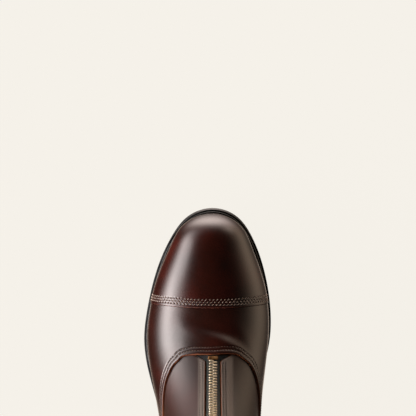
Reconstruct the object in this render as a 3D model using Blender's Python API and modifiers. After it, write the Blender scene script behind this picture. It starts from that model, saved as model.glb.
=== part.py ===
"""Left paddock boot with a front zip, standing empty on its sole.

Metres, +Z up, toe towards +Y, the boot's own left (lateral) side towards -X. The origin is the middle of the
heel's resting face. The upper is one skin, a function of station and turn. A station is a slice through the
last: 0 is the toe tip, the slices lean back over the instep and swing round the heel, and 15 is the collar.
A turn runs round a slice from the lateral sole edge (-1) over the ridge (0) to the medial sole edge (+1).
A column also runs from -1 to 1, but spreads so that one column either side of the ridge follows the zip's edge.
"""

import math

import bmesh
import bpy
import numpy as np

# Overall sizes
LENGTH = 0.282
BALL_WIDTH = 0.098
INSTEP_HEIGHT = 0.1035
BOOT_HEIGHT = 0.1745
SHAFT_WIDTH = 0.072
HEEL_LIFT = 0.0235
TOE_SPRING = 0.0115
COLLAR_DIP = 0.005

# Walls, steps and clearances
GAP = 0.0003
VAMP_GAP = 0.0006
UPPER_WALL = 0.0022
CAP_LEATHER = 0.0020
VAMP_LEATHER = 0.0012
STRAP_LEATHER = 0.0012
OUTSOLE = 0.0060
TREAD_BEVEL = 0.0024
RIM_ROUND = 0.0010
WELT = 0.0028
WELT_STEP = 0.0017
WELT_WIDTH = 0.0085
WELT_ROUND = 0.0008
FEATHER_STEP = 0.0045
TOE_FEATHER_STEP = 0.0017
TOE_LEAN = 0.0010
INSOLE = 0.0035
INSOLE_PLAY = 0.0035
INSOLE_BEVEL = 0.0010

# Heel block
HEEL_LENGTH = 0.072
HEEL_SET_BACK = 0.0010
HEEL_TAPER = 0.0030
HEEL_EDGE = 0.0008
TOP_PIECE = 0.0060
TOP_PIECE_GROOVE = 0.0006
BREAST_HOLLOW = 0.0040
BREAST_RADIUS = 0.1150

# Overlays. The cap's edge and the seams behind it are placed by station.
CAP_LINE = 4.02
CAP_BOW = 0.12
CAP_BOW_REACH = 0.32
CAP_SEAM = 0.012
BACK_STRAP_WIDTH = 0.024
COLLAR_BAND_HEIGHT = 0.011

# Zip. Its opening, tapes and chain start at stations behind the vamp's edge.
SLIT_WIDTH = 0.0116
SLIT_TOP_WIDTH = 0.0134
SLIT_MOUTH = 0.0290
SLIT_START = 5.60
SLIT_CORNER = 0.30
TAPE_START = 5.65
CHAIN_START = 5.72
TAPE_SINK = 0.0016
TAPE = 0.0008
TAPE_SPLIT = 0.0004
TAPE_PLAY = 0.0009
CHAIN_WIDTH = 0.0064
CHAIN = 0.0016
CHAIN_LIFT = 0.0006
STOP_LENGTH = 0.0026
STOP_WIDTH = 0.0074
STOP_THICKNESS = 0.0020
STOP_ROUND = 0.0005
SLIDER_DROP = 0.0150
SLIDER_LENGTH = 0.0110
SLIDER_WIDTH = 0.0088
SLIDER_THICKNESS = 0.0032
SLIDER_ROUND = 0.0009
BRIDGE_RADIUS = 0.0032
BRIDGE_WIRE = 0.0007
PULL_LENGTH = 0.0270
PULL_WIDTH = 0.0074
PULL_THICKNESS = 0.0014
PULL_ROUND = 0.0016
PULL_BAR = 0.0015
PULL_ARM = 0.0013
PULL_WINDOW = 0.0041
PULL_GRIP_WIDTH = 0.0030
PULL_GRIP_LENGTH = 0.0055
PULL_GRIP_END = 0.0040
PULL_LEAN = 4.0

# Outline of the outsole. along is from the back of the heel to the toe tip, as a share of LENGTH.
# lateral and medial are half widths either side of the boot's axis, as shares of BALL_WIDTH.
OUTLINE = (
    # along, lateral, medial
    (1.000, 0.007, -0.007),
    (0.9755, 0.203, 0.195),
    (0.926, 0.318, 0.302),
    (0.830, 0.442, 0.405),
    (0.721, 0.518, 0.456),
    (0.639, 0.542, 0.450),
    (0.571, 0.519, 0.405),
    (0.468, 0.440, 0.312),
    (0.344, 0.368, 0.288),
    (0.220, 0.338, 0.318),
    (0.113, 0.326, 0.322),
    (0.043, 0.258, 0.258),
    (0.000, 0.000, 0.000),
)

# Underside of the sole seen from the side. lift is a share of HEEL_LIFT, spring a share of TOE_SPRING.
UNDERSIDE = (
    # along, lift, spring
    (0.00, 1.05, 0.00),
    (0.14, 1.00, 0.00),
    (0.26, 0.93, 0.00),
    (0.36, 0.70, 0.00),
    (0.45, 0.38, 0.00),
    (0.54, 0.11, 0.00),
    (0.62, 0.00, 0.00),
    (0.73, 0.00, 0.00),
    (0.80, 0.00, 0.09),
    (0.87, 0.00, 0.31),
    (0.94, 0.00, 0.66),
    (1.00, 0.00, 1.02),
)

# Slices of the upper over the foot. ridge and sole are where the slice meets the ridge and the feather edge,
# as shares of the upper's length from its back. rise is the ridge's height as a share of INSTEP_HEIGHT.
# lateral and medial are half widths, as shares of BALL_WIDTH. belly is how high the widest point lies, and full
# how square the slice's shoulders are.
FOOT = (
    # ridge, rise, sole, lateral, medial, belly, full
    (1.0000, None, 1.0000, 0.000, 0.000, 0.30, 0.10),
    (0.9720, 0.420, 0.9720, 0.204, 0.193, 0.30, 0.12),
    (0.9130, 0.500, 0.9130, 0.306, 0.285, 0.30, 0.12),
    (0.8320, 0.546, 0.8320, 0.403, 0.364, 0.30, 0.10),
    (0.7480, 0.586, 0.7480, 0.466, 0.412, 0.30, 0.06),
    (0.6690, 0.643, 0.6630, 0.492, 0.416, 0.30, 0.02),
    (0.5970, 0.729, 0.5750, 0.472, 0.392, 0.31, 0.00),
    (0.5290, 0.850, 0.4790, 0.424, 0.362, 0.32, 0.04),
    (0.4690, 0.998, 0.3750, 0.380, 0.344, 0.31, 0.12),
)

# Slices that swing round the heel and up the shaft. ridge and sole are shares of the upper's length, rise and
# back are heights as shares of BOOT_HEIGHT, lateral and medial are half widths as shares of SHAFT_WIDTH. A slice
# with no back height ends on the feather edge.
SHAFT = (
    # ridge, rise, sole, back, lateral, medial, belly, full
    (0.4180, 0.690, 0.2400, None, 0.480, 0.455, 0.25, 0.20),
    (0.3830, 0.781, 0.0960, None, 0.460, 0.452, 0.20, 0.27),
    (0.3640, 0.846, 0.0000, None, 0.453, 0.450, 0.33, 0.28),
    (0.3545, 0.895, -0.0105, 0.380, 0.452, 0.450, 0.37, 0.26),
    (0.3480, 0.936, 0.0055, 0.575, 0.458, 0.456, 0.41, 0.20),
    (0.3440, 0.970, 0.0210, 0.755, 0.476, 0.474, 0.45, 0.12),
    (0.3415, 1.000, 0.0150, 0.962, 0.500, 0.500, 0.50, 0.06),
)
HEEL_STATION = 11
TOP_STATION = 15

# The vamp's rear edge: a U round the foot of the zip, whose arms run back high on the sides and then down to
# the sole at the waist.
THROAT = (
    # column, station
    (-1.00, 9.10),
    (-0.72, 8.72),
    (-0.50, 7.92),
    (-0.41, 6.95),
    (-0.34, 6.33),
    (-0.27, 5.95),
    (-0.20, 5.75),
    (-0.14, 5.68),
    (-0.08, 5.65),
    (0.00, 5.65),
    (0.07, 5.62),
    (0.12, 5.65),
    (0.16, 5.70),
    (0.21, 5.78),
    (0.28, 5.93),
    (0.36, 6.36),
    (0.45, 7.01),
    (0.58, 7.85),
    (0.78, 8.62),
    (1.00, 9.05),
)

# How the skin's lines of equal turn spread where a slice ends on the feather edge
MOST_TUCK = 0.985
TUCK_SPREAD = 0.8
SHARPEST_SPREAD = 8.0
DIP_START = 11.5
TIP_OFFSET_END = 5.0

# How finely the curved pieces are cut
RING_POINTS = 76
HEEL_POINTS = 34
ZIP_COLUMN = 0.09
SIDE_COLUMNS = 12
VAMP_ROWS = 13
STRIP_ROWS = 22
NEAREST_ROW = 0.1
SMOOTH_ANGLE = 40.0
WELD = 2e-5


def spline(knots, values):
    """Smooth curve through the values: a natural cubic, whose curvature is nought at both ends."""
    knots = np.asarray(knots, float)
    values = np.asarray(values, float)
    steps = np.diff(knots)
    slopes = np.diff(values) / steps
    system = np.eye(len(knots))
    right = np.zeros(len(knots))
    for i in range(1, len(knots) - 1):
        system[i, i - 1 : i + 2] = steps[i - 1], 2 * (steps[i - 1] + steps[i]), steps[i]
        right[i] = 6 * (slopes[i] - slopes[i - 1])
    bend = np.linalg.solve(system, right)

    def at(t):
        t = np.asarray(t, float)
        i = np.clip(np.searchsorted(knots, t) - 1, 0, len(steps) - 1)
        h = steps[i]
        before = t - knots[i]
        after = knots[i + 1] - t
        curved = (bend[i] * after**3 + bend[i + 1] * before**3) / (6 * h)
        start = (values[i] / h - bend[i] * h / 6) * after
        end = (values[i + 1] / h - bend[i + 1] * h / 6) * before
        return curved + start + end

    return at


def ease(low, high, t):
    """0 before low, 1 after high, and a smooth S between."""
    share = np.clip((np.asarray(t, float) - low) / (high - low), 0.0, 1.0)
    return share * share * (3 - 2 * share)


HEEL_BACK = -HEEL_LENGTH / 2
TOE_TIP = HEEL_BACK + LENGTH


def outline_curve():
    """The sole's outline as a closed curve of t: 0 is the toe tip, 0.5 the back of the heel, medial side first."""
    rows = np.array(OUTLINE)
    along = HEEL_BACK + rows[:, 0] * LENGTH
    medial = np.column_stack([rows[:, 2] * BALL_WIDTH, along])
    lateral = np.column_stack([-rows[:, 1] * BALL_WIDTH, along])[::-1]

    def knots(points):
        walked = np.concatenate([[0.0], np.cumsum(np.linalg.norm(np.diff(points, axis=0), axis=1))])
        return walked / walked[-1] / 2

    loop = np.concatenate([medial, lateral[1:-1]])
    places = np.concatenate([knots(medial), 0.5 + knots(lateral)[1:-1]])
    # The loop is repeated before and after itself, so that the curve closes smoothly.
    loop = np.concatenate([loop, loop, loop])
    places = np.concatenate([places - 1, places, places + 1])
    return spline(places, loop[:, 0]), spline(places, loop[:, 1])


OUTLINE_X, OUTLINE_Y = outline_curve()


def inset_outline(t, step, toe_step=0.0):
    """Points of the outline moved inwards by step, and by toe_step more at the toe tip."""
    nudge = 1e-3
    x, y = OUTLINE_X(t), OUTLINE_Y(t)
    run_x = OUTLINE_X(t + nudge) - OUTLINE_X(t - nudge)
    run_y = OUTLINE_Y(t + nudge) - OUTLINE_Y(t - nudge)
    size = np.hypot(run_x, run_y)
    depth = step + toe_step * ease(TOE_TIP - 0.12 * LENGTH, TOE_TIP, y)
    return x + depth * run_y / size, y - depth * run_x / size


def underside(y):
    """Height of the sole's underside: the forefoot rests on the floor, the waist arches, the toe springs."""
    rows = np.array(UNDERSIDE)
    along = HEEL_BACK + rows[:, 0] * LENGTH
    height = rows[:, 1] * HEEL_LIFT + rows[:, 2] * TOE_SPRING
    return np.maximum(0.0, spline(along, height)(y))


def welt_foot(y):
    return underside(y) + OUTSOLE + GAP


def feather(y):
    """Height where the upper's lower edge and the insole stand on the welt."""
    return welt_foot(y) + WELT + GAP


def feather_sides():
    """The feather edge as x over y, for the medial and the lateral side, with its tip and its back."""
    t = np.linspace(0.0, 0.5, 241)
    medial = np.column_stack(inset_outline(t, FEATHER_STEP, TOE_FEATHER_STEP))
    lateral = np.column_stack(inset_outline(1.0 - t, FEATHER_STEP, TOE_FEATHER_STEP))
    return medial[::-1], lateral[::-1]


MEDIAL_EDGE, LATERAL_EDGE = feather_sides()
UPPER_TIP = MEDIAL_EDGE[-1]
UPPER_BACK = MEDIAL_EDGE[0]


def along_upper(share):
    return UPPER_BACK[1] + share * (UPPER_TIP[1] - UPPER_BACK[1])


def station_curves():
    """One smooth curve of the station for each column of the two tables."""
    tip = feather(UPPER_TIP[1])
    ridge, rise, sole, lateral, medial, belly, full = [list(c) for c in zip(*FOOT)]
    rise = [tip] + [r * INSTEP_HEIGHT for r in rise[1:]]
    lateral = [w * BALL_WIDTH for w in lateral]
    medial = [w * BALL_WIDTH for w in medial]
    for row in SHAFT:
        ridge.append(row[0])
        rise.append(row[1] * BOOT_HEIGHT)
        sole.append(row[2])
        lateral.append(row[4] * SHAFT_WIDTH)
        medial.append(row[5] * SHAFT_WIDTH)
        belly.append(row[6])
        full.append(row[7])
    stations = np.arange(len(ridge))
    mirrored = 4
    knots = np.concatenate([-stations[mirrored:0:-1], stations])

    def curve(values, sign):
        """Goes on through the toe tip with the same sign, or the other one, so that the tip is blunt."""
        values = np.asarray(values, float)
        before = values[0] + sign * (values[mirrored:0:-1] - values[0])
        return spline(knots, np.concatenate([before, values]))

    heel = feather(UPPER_BACK[1])
    backs = [heel] + [row[3] * BOOT_HEIGHT for row in SHAFT if row[3] is not None]
    return {
        "ridge_y": curve(along_upper(np.array(ridge)), 1),
        "ridge_z": curve(rise, -1),
        "sole_y": curve(along_upper(np.array(sole)), 1),
        "lateral": curve(lateral, -1),
        "medial": curve(medial, -1),
        "belly": curve(belly, 1),
        "full": curve(full, 1),
        "back_z": spline(np.arange(HEEL_STATION, TOP_STATION + 1), backs),
    }


STATION = station_curves()


def slice_of(station, turn):
    """What a point of the skin needs from its slice: half width, sole end, middle and the angle at the end."""
    medial_side = turn >= 0
    sole_y = STATION["sole_y"](station)
    half = np.where(medial_side, STATION["medial"](station), STATION["lateral"](station))
    on_medial = np.interp(sole_y, MEDIAL_EDGE[:, 1], MEDIAL_EDGE[:, 0])
    on_lateral = -np.interp(sole_y, LATERAL_EDGE[:, 1], LATERAL_EDGE[:, 0])
    middle = UPPER_TIP[0] * (1 - ease(0.0, TIP_OFFSET_END, station))
    edge = np.where(medial_side, on_medial - middle, on_lateral + middle)
    edge = np.where(station < HEEL_STATION, np.maximum(edge, 0.0), 0.0)
    tuck = np.minimum(edge / np.maximum(np.abs(half), 1e-6), MOST_TUCK)
    return half, sole_y, middle, math.pi - np.arcsin(tuck)


def angle_of(share, end):
    """Angle round a slice for a share of its turn. What the tuck takes off half a circle comes off near the
    sole, so that lines of equal turn run straight over the shaft."""
    short = math.pi - end
    power = np.clip(TUCK_SPREAD * math.pi / np.maximum(short, 1e-6), 1.0, SHARPEST_SPREAD)
    return math.pi * share - short * np.abs(share) ** power


def skin(station, turn):
    """The upper's outer face. Over the belly a slice is an ellipse with filled shoulders, under it an ellipse
    that tucks in to the feather edge, or closes on the back line of the heel and shaft."""
    station, turn = np.broadcast_arrays(np.asarray(station, float), np.asarray(turn, float))
    half, sole_y, middle, end = slice_of(station, turn)
    angle = angle_of(np.abs(turn), end)
    side = np.where(turn >= 0, 1.0, -1.0)
    belly, full = STATION["belly"](station), STATION["full"](station)
    over = belly + (1 - belly) * np.cos(angle) * (1 + full * np.sin(angle) ** 2)
    under = belly * (1 - np.cos(angle) / np.cos(end))
    share = np.where(angle < math.pi / 2, over, under)
    sole_z = np.where(station < HEEL_STATION, feather(sole_y), STATION["back_z"](station))
    ridge_y, ridge_z = STATION["ridge_y"](station), STATION["ridge_z"](station)
    dip = COLLAR_DIP * ease(DIP_START, TOP_STATION, station) * np.sin(angle) ** 2
    x = middle + side * half * np.sin(angle)
    y = sole_y + (ridge_y - sole_y) * share
    z = sole_z + (ridge_z - sole_z) * share - dip
    return np.stack([x, y, z], axis=-1)


def skin_normal(station, turn):
    """Outward normal, from the skin's slopes along station and turn. At the toe tip it points straight ahead."""
    nudge = 2e-3
    inside = np.maximum(station, 10 * nudge)
    down = skin(inside + nudge, turn) - skin(inside - nudge, turn)
    across = skin(inside, turn + nudge) - skin(inside, turn - nudge)
    normal = np.cross(down, across)
    normal = normal / np.linalg.norm(normal, axis=-1, keepdims=True)
    at_tip = np.broadcast_to(station, normal.shape[:-1]) < nudge
    return np.where(at_tip[..., None], (0.0, 1.0, 0.0), normal)


def layer(station, turn, height):
    """The skin raised by height, and kept off the welt."""
    station, turn = np.broadcast_arrays(np.asarray(station, float), np.asarray(turn, float))
    points = skin(station, turn) + height * skin_normal(station, turn)
    points[..., 2] = np.maximum(points[..., 2], feather(points[..., 1]))
    return points


def turn_at(station, x):
    """The turn where the skin's slice is x metres from the boot's middle, near the ridge."""
    side = np.where(np.asarray(x) >= 0, 1.0, -1.0)
    half, _, _, end = slice_of(np.asarray(station, float), side)
    angle = np.arcsin(np.clip(np.abs(x) / np.maximum(half, 1e-6), 0, 1))
    share = angle / math.pi
    for _ in range(6):
        share = share + (angle - angle_of(share, end)) / math.pi
    return side * share


def station_below_collar(turn, drop):
    """The station that lies drop metres under the collar, measured on the skin along a line of equal turn."""
    stations = np.linspace(TOP_STATION, HEEL_STATION, 161)
    found = []
    for one_turn in np.atleast_1d(turn):
        line = skin(stations, one_turn)
        walked = np.concatenate([[0.0], np.cumsum(np.linalg.norm(np.diff(line, axis=0), axis=1))])
        found.append(np.interp(drop, walked, stations))
    return np.array(found)


def new_collection(name):
    collection = bpy.data.collections.new(name)
    bpy.context.scene.collection.children.link(collection)
    return collection


def material(name, colour, roughness, metallic=0.0):
    """Principled surface. The colour is linear red, green and blue."""
    made = bpy.data.materials.new(name)
    made.use_nodes = True
    shader = made.node_tree.nodes["Principled BSDF"]
    shader.inputs["Base Color"].default_value = (*colour, 1.0)
    shader.inputs["Roughness"].default_value = roughness
    shader.inputs["Metallic"].default_value = metallic
    return made


def finish(obj, collection, surface):
    for user in list(obj.users_collection):
        user.objects.unlink(obj)
    collection.objects.link(obj)
    obj.data.materials.clear()
    obj.data.materials.append(surface)
    if obj.type == "MESH":
        obj.data.shade_smooth()
        obj.data.set_sharp_from_angle(angle=math.radians(SMOOTH_ANGLE))
    return obj


def hide_cutter(obj, name, cutters):
    """Moves a Boolean's other shape into the cutters' collection, out of the render."""
    obj.name = name
    for user in list(obj.users_collection):
        user.objects.unlink(obj)
    cutters.objects.link(obj)
    obj.hide_render = True
    obj.display_type = "WIRE"
    return obj


def mesh_object(name, vertices, faces):
    """A mesh object without loose points, its doubled points made one and its faces turned outwards."""
    mesh = bpy.data.meshes.new(name)
    mesh.from_pydata([tuple(map(float, v)) for v in vertices], [], faces)
    shape = bmesh.new()
    shape.from_mesh(mesh)
    loose = [v for v in shape.verts if not v.link_faces]
    bmesh.ops.delete(shape, geom=loose, context="VERTS")
    bmesh.ops.remove_doubles(shape, verts=shape.verts, dist=WELD)
    bmesh.ops.recalc_face_normals(shape, faces=shape.faces)
    shape.to_mesh(mesh)
    shape.free()
    obj = bpy.data.objects.new(name, mesh)
    bpy.context.scene.collection.objects.link(obj)
    return obj


def sheet(name, outer, inner, skip=None):
    """A leather or cloth piece: the wall between an outer and an inner grid of like points. Outer points that
    coincide, as at the toe tip and down the back line, are one, and a rim closes every open edge."""
    rows, columns = outer.shape[:2]
    _, first, index = np.unique(
        np.round(outer.reshape(-1, 3) / WELD), axis=0, return_index=True, return_inverse=True
    )
    index = index.reshape(rows, columns)
    count = len(first)
    faces = []
    sides = set()
    for r in range(rows - 1):
        for c in range(columns - 1):
            if skip is not None and skip[r, c]:
                continue
            corners = [index[r, c], index[r + 1, c], index[r + 1, c + 1], index[r, c + 1]]
            corners = [int(a) for k, a in enumerate(corners) if a != corners[k - 1]]
            # Both grids are split along the same diagonal, so that layers of one skin stay parallel.
            for second, third in zip(corners[1:], corners[2:]):
                faces.append((corners[0], second, third))
                faces.append((third + count, second + count, corners[0] + count))
            if len(corners) > 2:
                sides.update(zip(corners, corners[1:] + corners[:1]))
    for a, b in sorted(sides):
        if (b, a) not in sides:
            faces.append((b, a, a + count, b + count))
    vertices = np.concatenate([outer.reshape(-1, 3)[first], inner.reshape(-1, 3)[first]])
    return mesh_object(name, vertices, faces)


def loft(name, loops, cycle=False):
    """Joins closed loops of equal, even count. A stack of loops is capped with strips from side to side, and a
    cycle of loops is joined back to its first, as a ring."""
    count = len(loops[0])
    faces = []
    for k in range(len(loops) if cycle else len(loops) - 1):
        low = k * count
        high = (k + 1) % len(loops) * count
        for i in range(count):
            j = (i + 1) % count
            faces.append((low + i, low + j, high + j, high + i))
    if not cycle:
        top = (len(loops) - 1) * count
        for i in range(count // 2 - 1):
            far, next_far = count - 1 - i, count - 2 - i
            faces.append((i, far, next_far, i + 1))
            faces.append((top + i, top + i + 1, top + next_far, top + far))
    return mesh_object(name, np.concatenate(loops), faces)


def ring(step, toe_step, height):
    """A closed loop of the outline, moved inwards, at a height that is a function of y."""
    t = (np.arange(RING_POINTS) + 0.5) / RING_POINTS
    x, y = inset_outline(t, step, toe_step)
    return np.column_stack([x, y, height(y)])


def outsole():
    """Rubber outsole, one plate from heel to toe, with a bevelled tread edge and a rounded rim."""

    def over(height):
        return lambda y: underside(y) + height

    loops = [
        ring(1.2 * TREAD_BEVEL, 0.0, underside),
        ring(0.3 * TREAD_BEVEL, 0.0, over(0.5 * TREAD_BEVEL)),
        ring(0.0, 0.0, over(TREAD_BEVEL)),
        ring(0.0, TOE_LEAN, over(OUTSOLE - RIM_ROUND)),
        ring(0.3 * RIM_ROUND, TOE_LEAN, over(OUTSOLE - 0.3 * RIM_ROUND)),
        ring(RIM_ROUND, TOE_LEAN, over(OUTSOLE)),
    ]
    return loft("outsole", loops)


def welt():
    """Rubber welt, a ring that stands back from the outsole's rim, with a rounded outer edge."""
    inner = WELT_STEP + WELT_WIDTH

    def over(height):
        return lambda y: welt_foot(y) + height

    loops = [
        ring(WELT_STEP + 0.5 * WELT_ROUND, TOE_LEAN, welt_foot),
        ring(WELT_STEP, TOE_LEAN, over(0.5 * WELT_ROUND)),
        ring(WELT_STEP, TOE_LEAN, over(WELT - WELT_ROUND)),
        ring(WELT_STEP + WELT_ROUND, TOE_LEAN, over(WELT)),
        ring(inner, TOE_LEAN, over(WELT)),
        ring(inner, TOE_LEAN, welt_foot),
    ]
    return loft("welt", loops, cycle=True)


def heel(cutters):
    """Stacked heel block under the sole's seat, tapered to its top piece, with a hollowed breast."""
    front = HEEL_BACK + HEEL_LENGTH
    spread = np.linspace(0.0, 1.0, 4001)
    inside = spread[OUTLINE_Y(spread) < front]
    t = np.linspace(inside[0], inside[-1], HEEL_POINTS)

    def loop(step, height):
        x, y = inset_outline(t, step)
        y = np.minimum(y, front)
        return np.column_stack([x, y, height + 0 * y])

    def seat():
        points = loop(HEEL_SET_BACK, 0.0)
        points[:, 2] = underside(points[:, 1]) - GAP
        return points

    loops = [
        loop(HEEL_TAPER + HEEL_EDGE, 0.0),
        loop(HEEL_TAPER, HEEL_EDGE),
        loop(HEEL_TAPER, TOP_PIECE - TOP_PIECE_GROOVE),
        loop(HEEL_TAPER + TOP_PIECE_GROOVE, TOP_PIECE),
        loop(HEEL_TAPER, TOP_PIECE + TOP_PIECE_GROOVE),
        seat(),
    ]
    obj = loft("heel", loops)
    bpy.ops.mesh.primitive_cylinder_add(vertices=128, radius=BREAST_RADIUS, depth=4 * HEEL_LIFT)
    hollow = hide_cutter(bpy.context.object, "breast_hollow", cutters)
    hollow.location = (0, front - BREAST_HOLLOW + BREAST_RADIUS, HEEL_LIFT)
    cut = obj.modifiers.new("breast", "BOOLEAN")
    cut.operation = "DIFFERENCE"
    cut.object = hollow
    return obj


def insole():
    """Insole board and sock, standing on the welt inside the upper."""
    step = FEATHER_STEP + UPPER_WALL + INSOLE_PLAY
    loops = [
        ring(step, TOE_FEATHER_STEP, feather),
        ring(step - INSOLE_BEVEL, TOE_FEATHER_STEP, lambda y: feather(y) + INSOLE),
    ]
    return loft("insole", loops)


def slit_half(station):
    """Half the zip's opening: it widens a little over the instep, and flares smoothly to a wider mouth under the
    vamp."""
    corner = 1 - ease(SLIT_START, SLIT_START + SLIT_CORNER, station)
    wider = (SLIT_TOP_WIDTH - SLIT_WIDTH) * ease(SLIT_START, HEEL_STATION, station)
    return (SLIT_WIDTH + wider + (SLIT_MOUTH - SLIT_WIDTH) * corner) / 2


def upper_stations():
    """Stations where the upper is cut: close at the toe tip, round the zip's corner and at the heel's end."""
    toe = 2.0 * np.linspace(0.0, 1.0, 9) ** 1.6
    foot = np.arange(2.5, 10.1, 0.5)
    corner = SLIT_START + SLIT_CORNER * np.array([0.0, 0.2, 0.5, 1.0])
    heel_end = HEEL_STATION - np.linspace(1.0, 0.0, 6)[1:] ** 2
    shaft = np.array([11.2, 11.45, 11.7, 12.0, 12.5, 13.0, 13.5, 14.0, 14.5, TOP_STATION])
    return np.unique(np.concatenate([toe, foot, corner, heel_end, shaft]))


def turn_of(station, column):
    """The turn of a column, which runs from -1 to 1. The column ZIP_COLUMN either side of the ridge follows the
    edge of the zip's opening, and ahead of the opening it keeps its turn."""
    station, column = np.broadcast_arrays(np.asarray(station, float), np.asarray(column, float))
    open_station = np.maximum(station, SLIT_START)
    side = np.where(column >= 0, 1.0, -1.0)
    edge = np.abs(turn_at(open_station, side * slit_half(open_station)))
    share = np.abs(column)
    beside = edge + (1 - edge) * (share - ZIP_COLUMN) / (1 - ZIP_COLUMN)
    return side * np.where(share < ZIP_COLUMN, edge * share / ZIP_COLUMN, beside)


def side_columns():
    return np.linspace(ZIP_COLUMN, 1.0, SIDE_COLUMNS)


def all_columns():
    return np.concatenate([-side_columns()[::-1], [0.0], side_columns()])


def leather(name, stations, columns, low, high, skip=None):
    """A piece of the skin's own shape, between two heights over it."""
    turns = turn_of(stations, columns)
    stations = np.broadcast_to(stations, turns.shape)
    return sheet(name, layer(stations, turns, high), layer(stations, turns, low), skip)


def upper():
    """Quarters, shaft and lining as one hollow wall: open at the collar, down the zip and underneath."""
    stations = upper_stations()
    columns = all_columns()
    skip = np.zeros((len(stations) - 1, len(columns) - 1), bool)
    skip[stations[:-1] >= SLIT_START - 1e-9, SIDE_COLUMNS - 1 : SIDE_COLUMNS + 1] = True
    return leather("upper", stations[:, None], columns, -UPPER_WALL, 0.0, skip)


def cap_edge(column):
    """Station of the toe cap's rear edge, bowed towards the heel over the ridge."""
    return CAP_LINE - CAP_BOW * column**2 / (column**2 + CAP_BOW_REACH**2)


def toe_cap():
    """Toe cap over the toe box, its rear edge a step above the vamp."""
    columns = all_columns()
    ahead = upper_stations()
    ahead = ahead[ahead < CAP_LINE - CAP_BOW - NEAREST_ROW]
    rows = [np.broadcast_to(one, columns.shape) for one in ahead] + [cap_edge(columns)]
    return leather("toe_cap", np.array(rows), columns, GAP, GAP + CAP_LEATHER)


def vamp():
    """Vamp from the toe cap back to the throat: its rear edge lies over the quarters in a wide U."""
    edge = np.array(THROAT)
    columns = all_columns()
    rear = spline(edge[:, 0], edge[:, 1])(columns)
    front = cap_edge(columns) + CAP_SEAM
    stations = front + np.linspace(0.0, 1.0, VAMP_ROWS)[:, None] * (rear - front)
    return leather("vamp", stations, columns, VAMP_GAP, VAMP_GAP + VAMP_LEATHER)


def collar_band():
    """Band stitched round the top edge, from one side of the zip round the back to the other."""
    columns = np.concatenate([side_columns(), -side_columns()[::-1]])
    low = station_below_collar(turn_of(TOP_STATION, columns), COLLAR_BAND_HEIGHT)
    stations = low + np.linspace(0.0, 1.0, 3)[:, None] * (TOP_STATION - low)
    return leather("collar_band", stations, columns, GAP, GAP + STRAP_LEATHER)


def back_strap():
    """Strip that covers the back seam, from the sole to the collar band."""
    top = float(station_below_collar(1.0, COLLAR_BAND_HEIGHT + 2 * GAP)[0])
    below = upper_stations()
    below = below[(below >= HEEL_STATION) & (below < top - NEAREST_ROW)]
    stations = np.append(below, top)[:, None]
    half = STATION["medial"](stations)
    reach = np.arcsin(BACK_STRAP_WIDTH / 2 / half) / math.pi
    across = np.linspace(1.0, 0.0, 4)
    turns = np.concatenate([1 - reach * across, -1 + reach * across[::-1]], axis=1)
    stations = np.broadcast_to(stations, turns.shape)
    outer = layer(stations, turns, GAP + STRAP_LEATHER)
    return sheet("back_strap", outer, layer(stations, turns, GAP))


def zip_tape(name, side):
    """One half of the woven tape, set below the leather inside the slit and cut at the same stations."""
    above = upper_stations()
    stations = np.append(TAPE_START, above[above > TAPE_START])[:, None]
    reach = np.linspace(0.0, 1.0, 3)[:: int(side)]
    x = TAPE_SPLIT + (slit_half(stations) - TAPE_PLAY - TAPE_SPLIT) * reach
    turns = turn_at(stations, side * x)
    stations = np.broadcast_to(stations, turns.shape)
    return sheet(name, layer(stations, turns, TAPE - TAPE_SINK), layer(stations, turns, -TAPE_SINK))


def ridge_frame(station, height=0.0):
    """A point over the ridge, with the directions up the zip and outwards."""
    station = np.asarray(station, float)
    nudge = 1e-3
    run = skin(station + nudge, 0.0) - skin(station - nudge, 0.0)
    run = run / np.linalg.norm(run)
    out = skin_normal(station, np.zeros_like(station))
    return skin(station, 0.0) + height * out, run, out


def station_after(station, distance):
    """The station that lies a distance further up the ridge."""
    stations = np.linspace(station, station + 2.0, 201)
    line = skin(stations, 0.0)
    walked = np.concatenate([[0.0], np.cumsum(np.linalg.norm(np.diff(line, axis=0), axis=1))])
    return float(np.interp(distance, walked, stations))


CHAIN_FOOT = -TAPE_SINK + TAPE + CHAIN_LIFT
SLIDER_STATION = float(station_below_collar(0.0, SLIDER_DROP)[0])
SLIDER_TOP = CHAIN_FOOT + SLIDER_THICKNESS
BAR_HEIGHT = SLIDER_TOP + (BRIDGE_RADIUS - BRIDGE_WIRE) / 2


def zip_chain():
    """The two meshed rows of teeth as one strip, from the bottom stop up to the slider."""
    low = station_after(CHAIN_START, STOP_LENGTH + 2 * GAP)
    high = float(station_below_collar(0.0, SLIDER_DROP + SLIDER_LENGTH / 2 + GAP)[0])
    stations = np.linspace(low, high, STRIP_ROWS)[:, None]
    turns = turn_at(stations, np.linspace(-0.5, 0.5, 3) * CHAIN_WIDTH)
    stations = np.broadcast_to(stations, turns.shape)
    outer = layer(stations, turns, CHAIN_FOOT + CHAIN)
    return sheet("zip_chain", outer, layer(stations, turns, CHAIN_FOOT))


def block(name, size, bevel):
    """A box primitive of that size with rounded edges."""
    bpy.ops.mesh.primitive_cube_add(size=1.0)
    obj = bpy.context.object
    obj.name = name
    obj.data.name = name
    obj.data.transform(((size[0], 0, 0, 0), (0, size[1], 0, 0), (0, 0, size[2], 0), (0, 0, 0, 1)))
    rounding = obj.modifiers.new("rounding", "BEVEL")
    rounding.width = bevel
    rounding.segments = 2
    return obj


def tilt_of(run):
    """Rotation about X that turns a piece's +Y to run up the zip."""
    return math.atan2(run[2], run[1])


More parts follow.
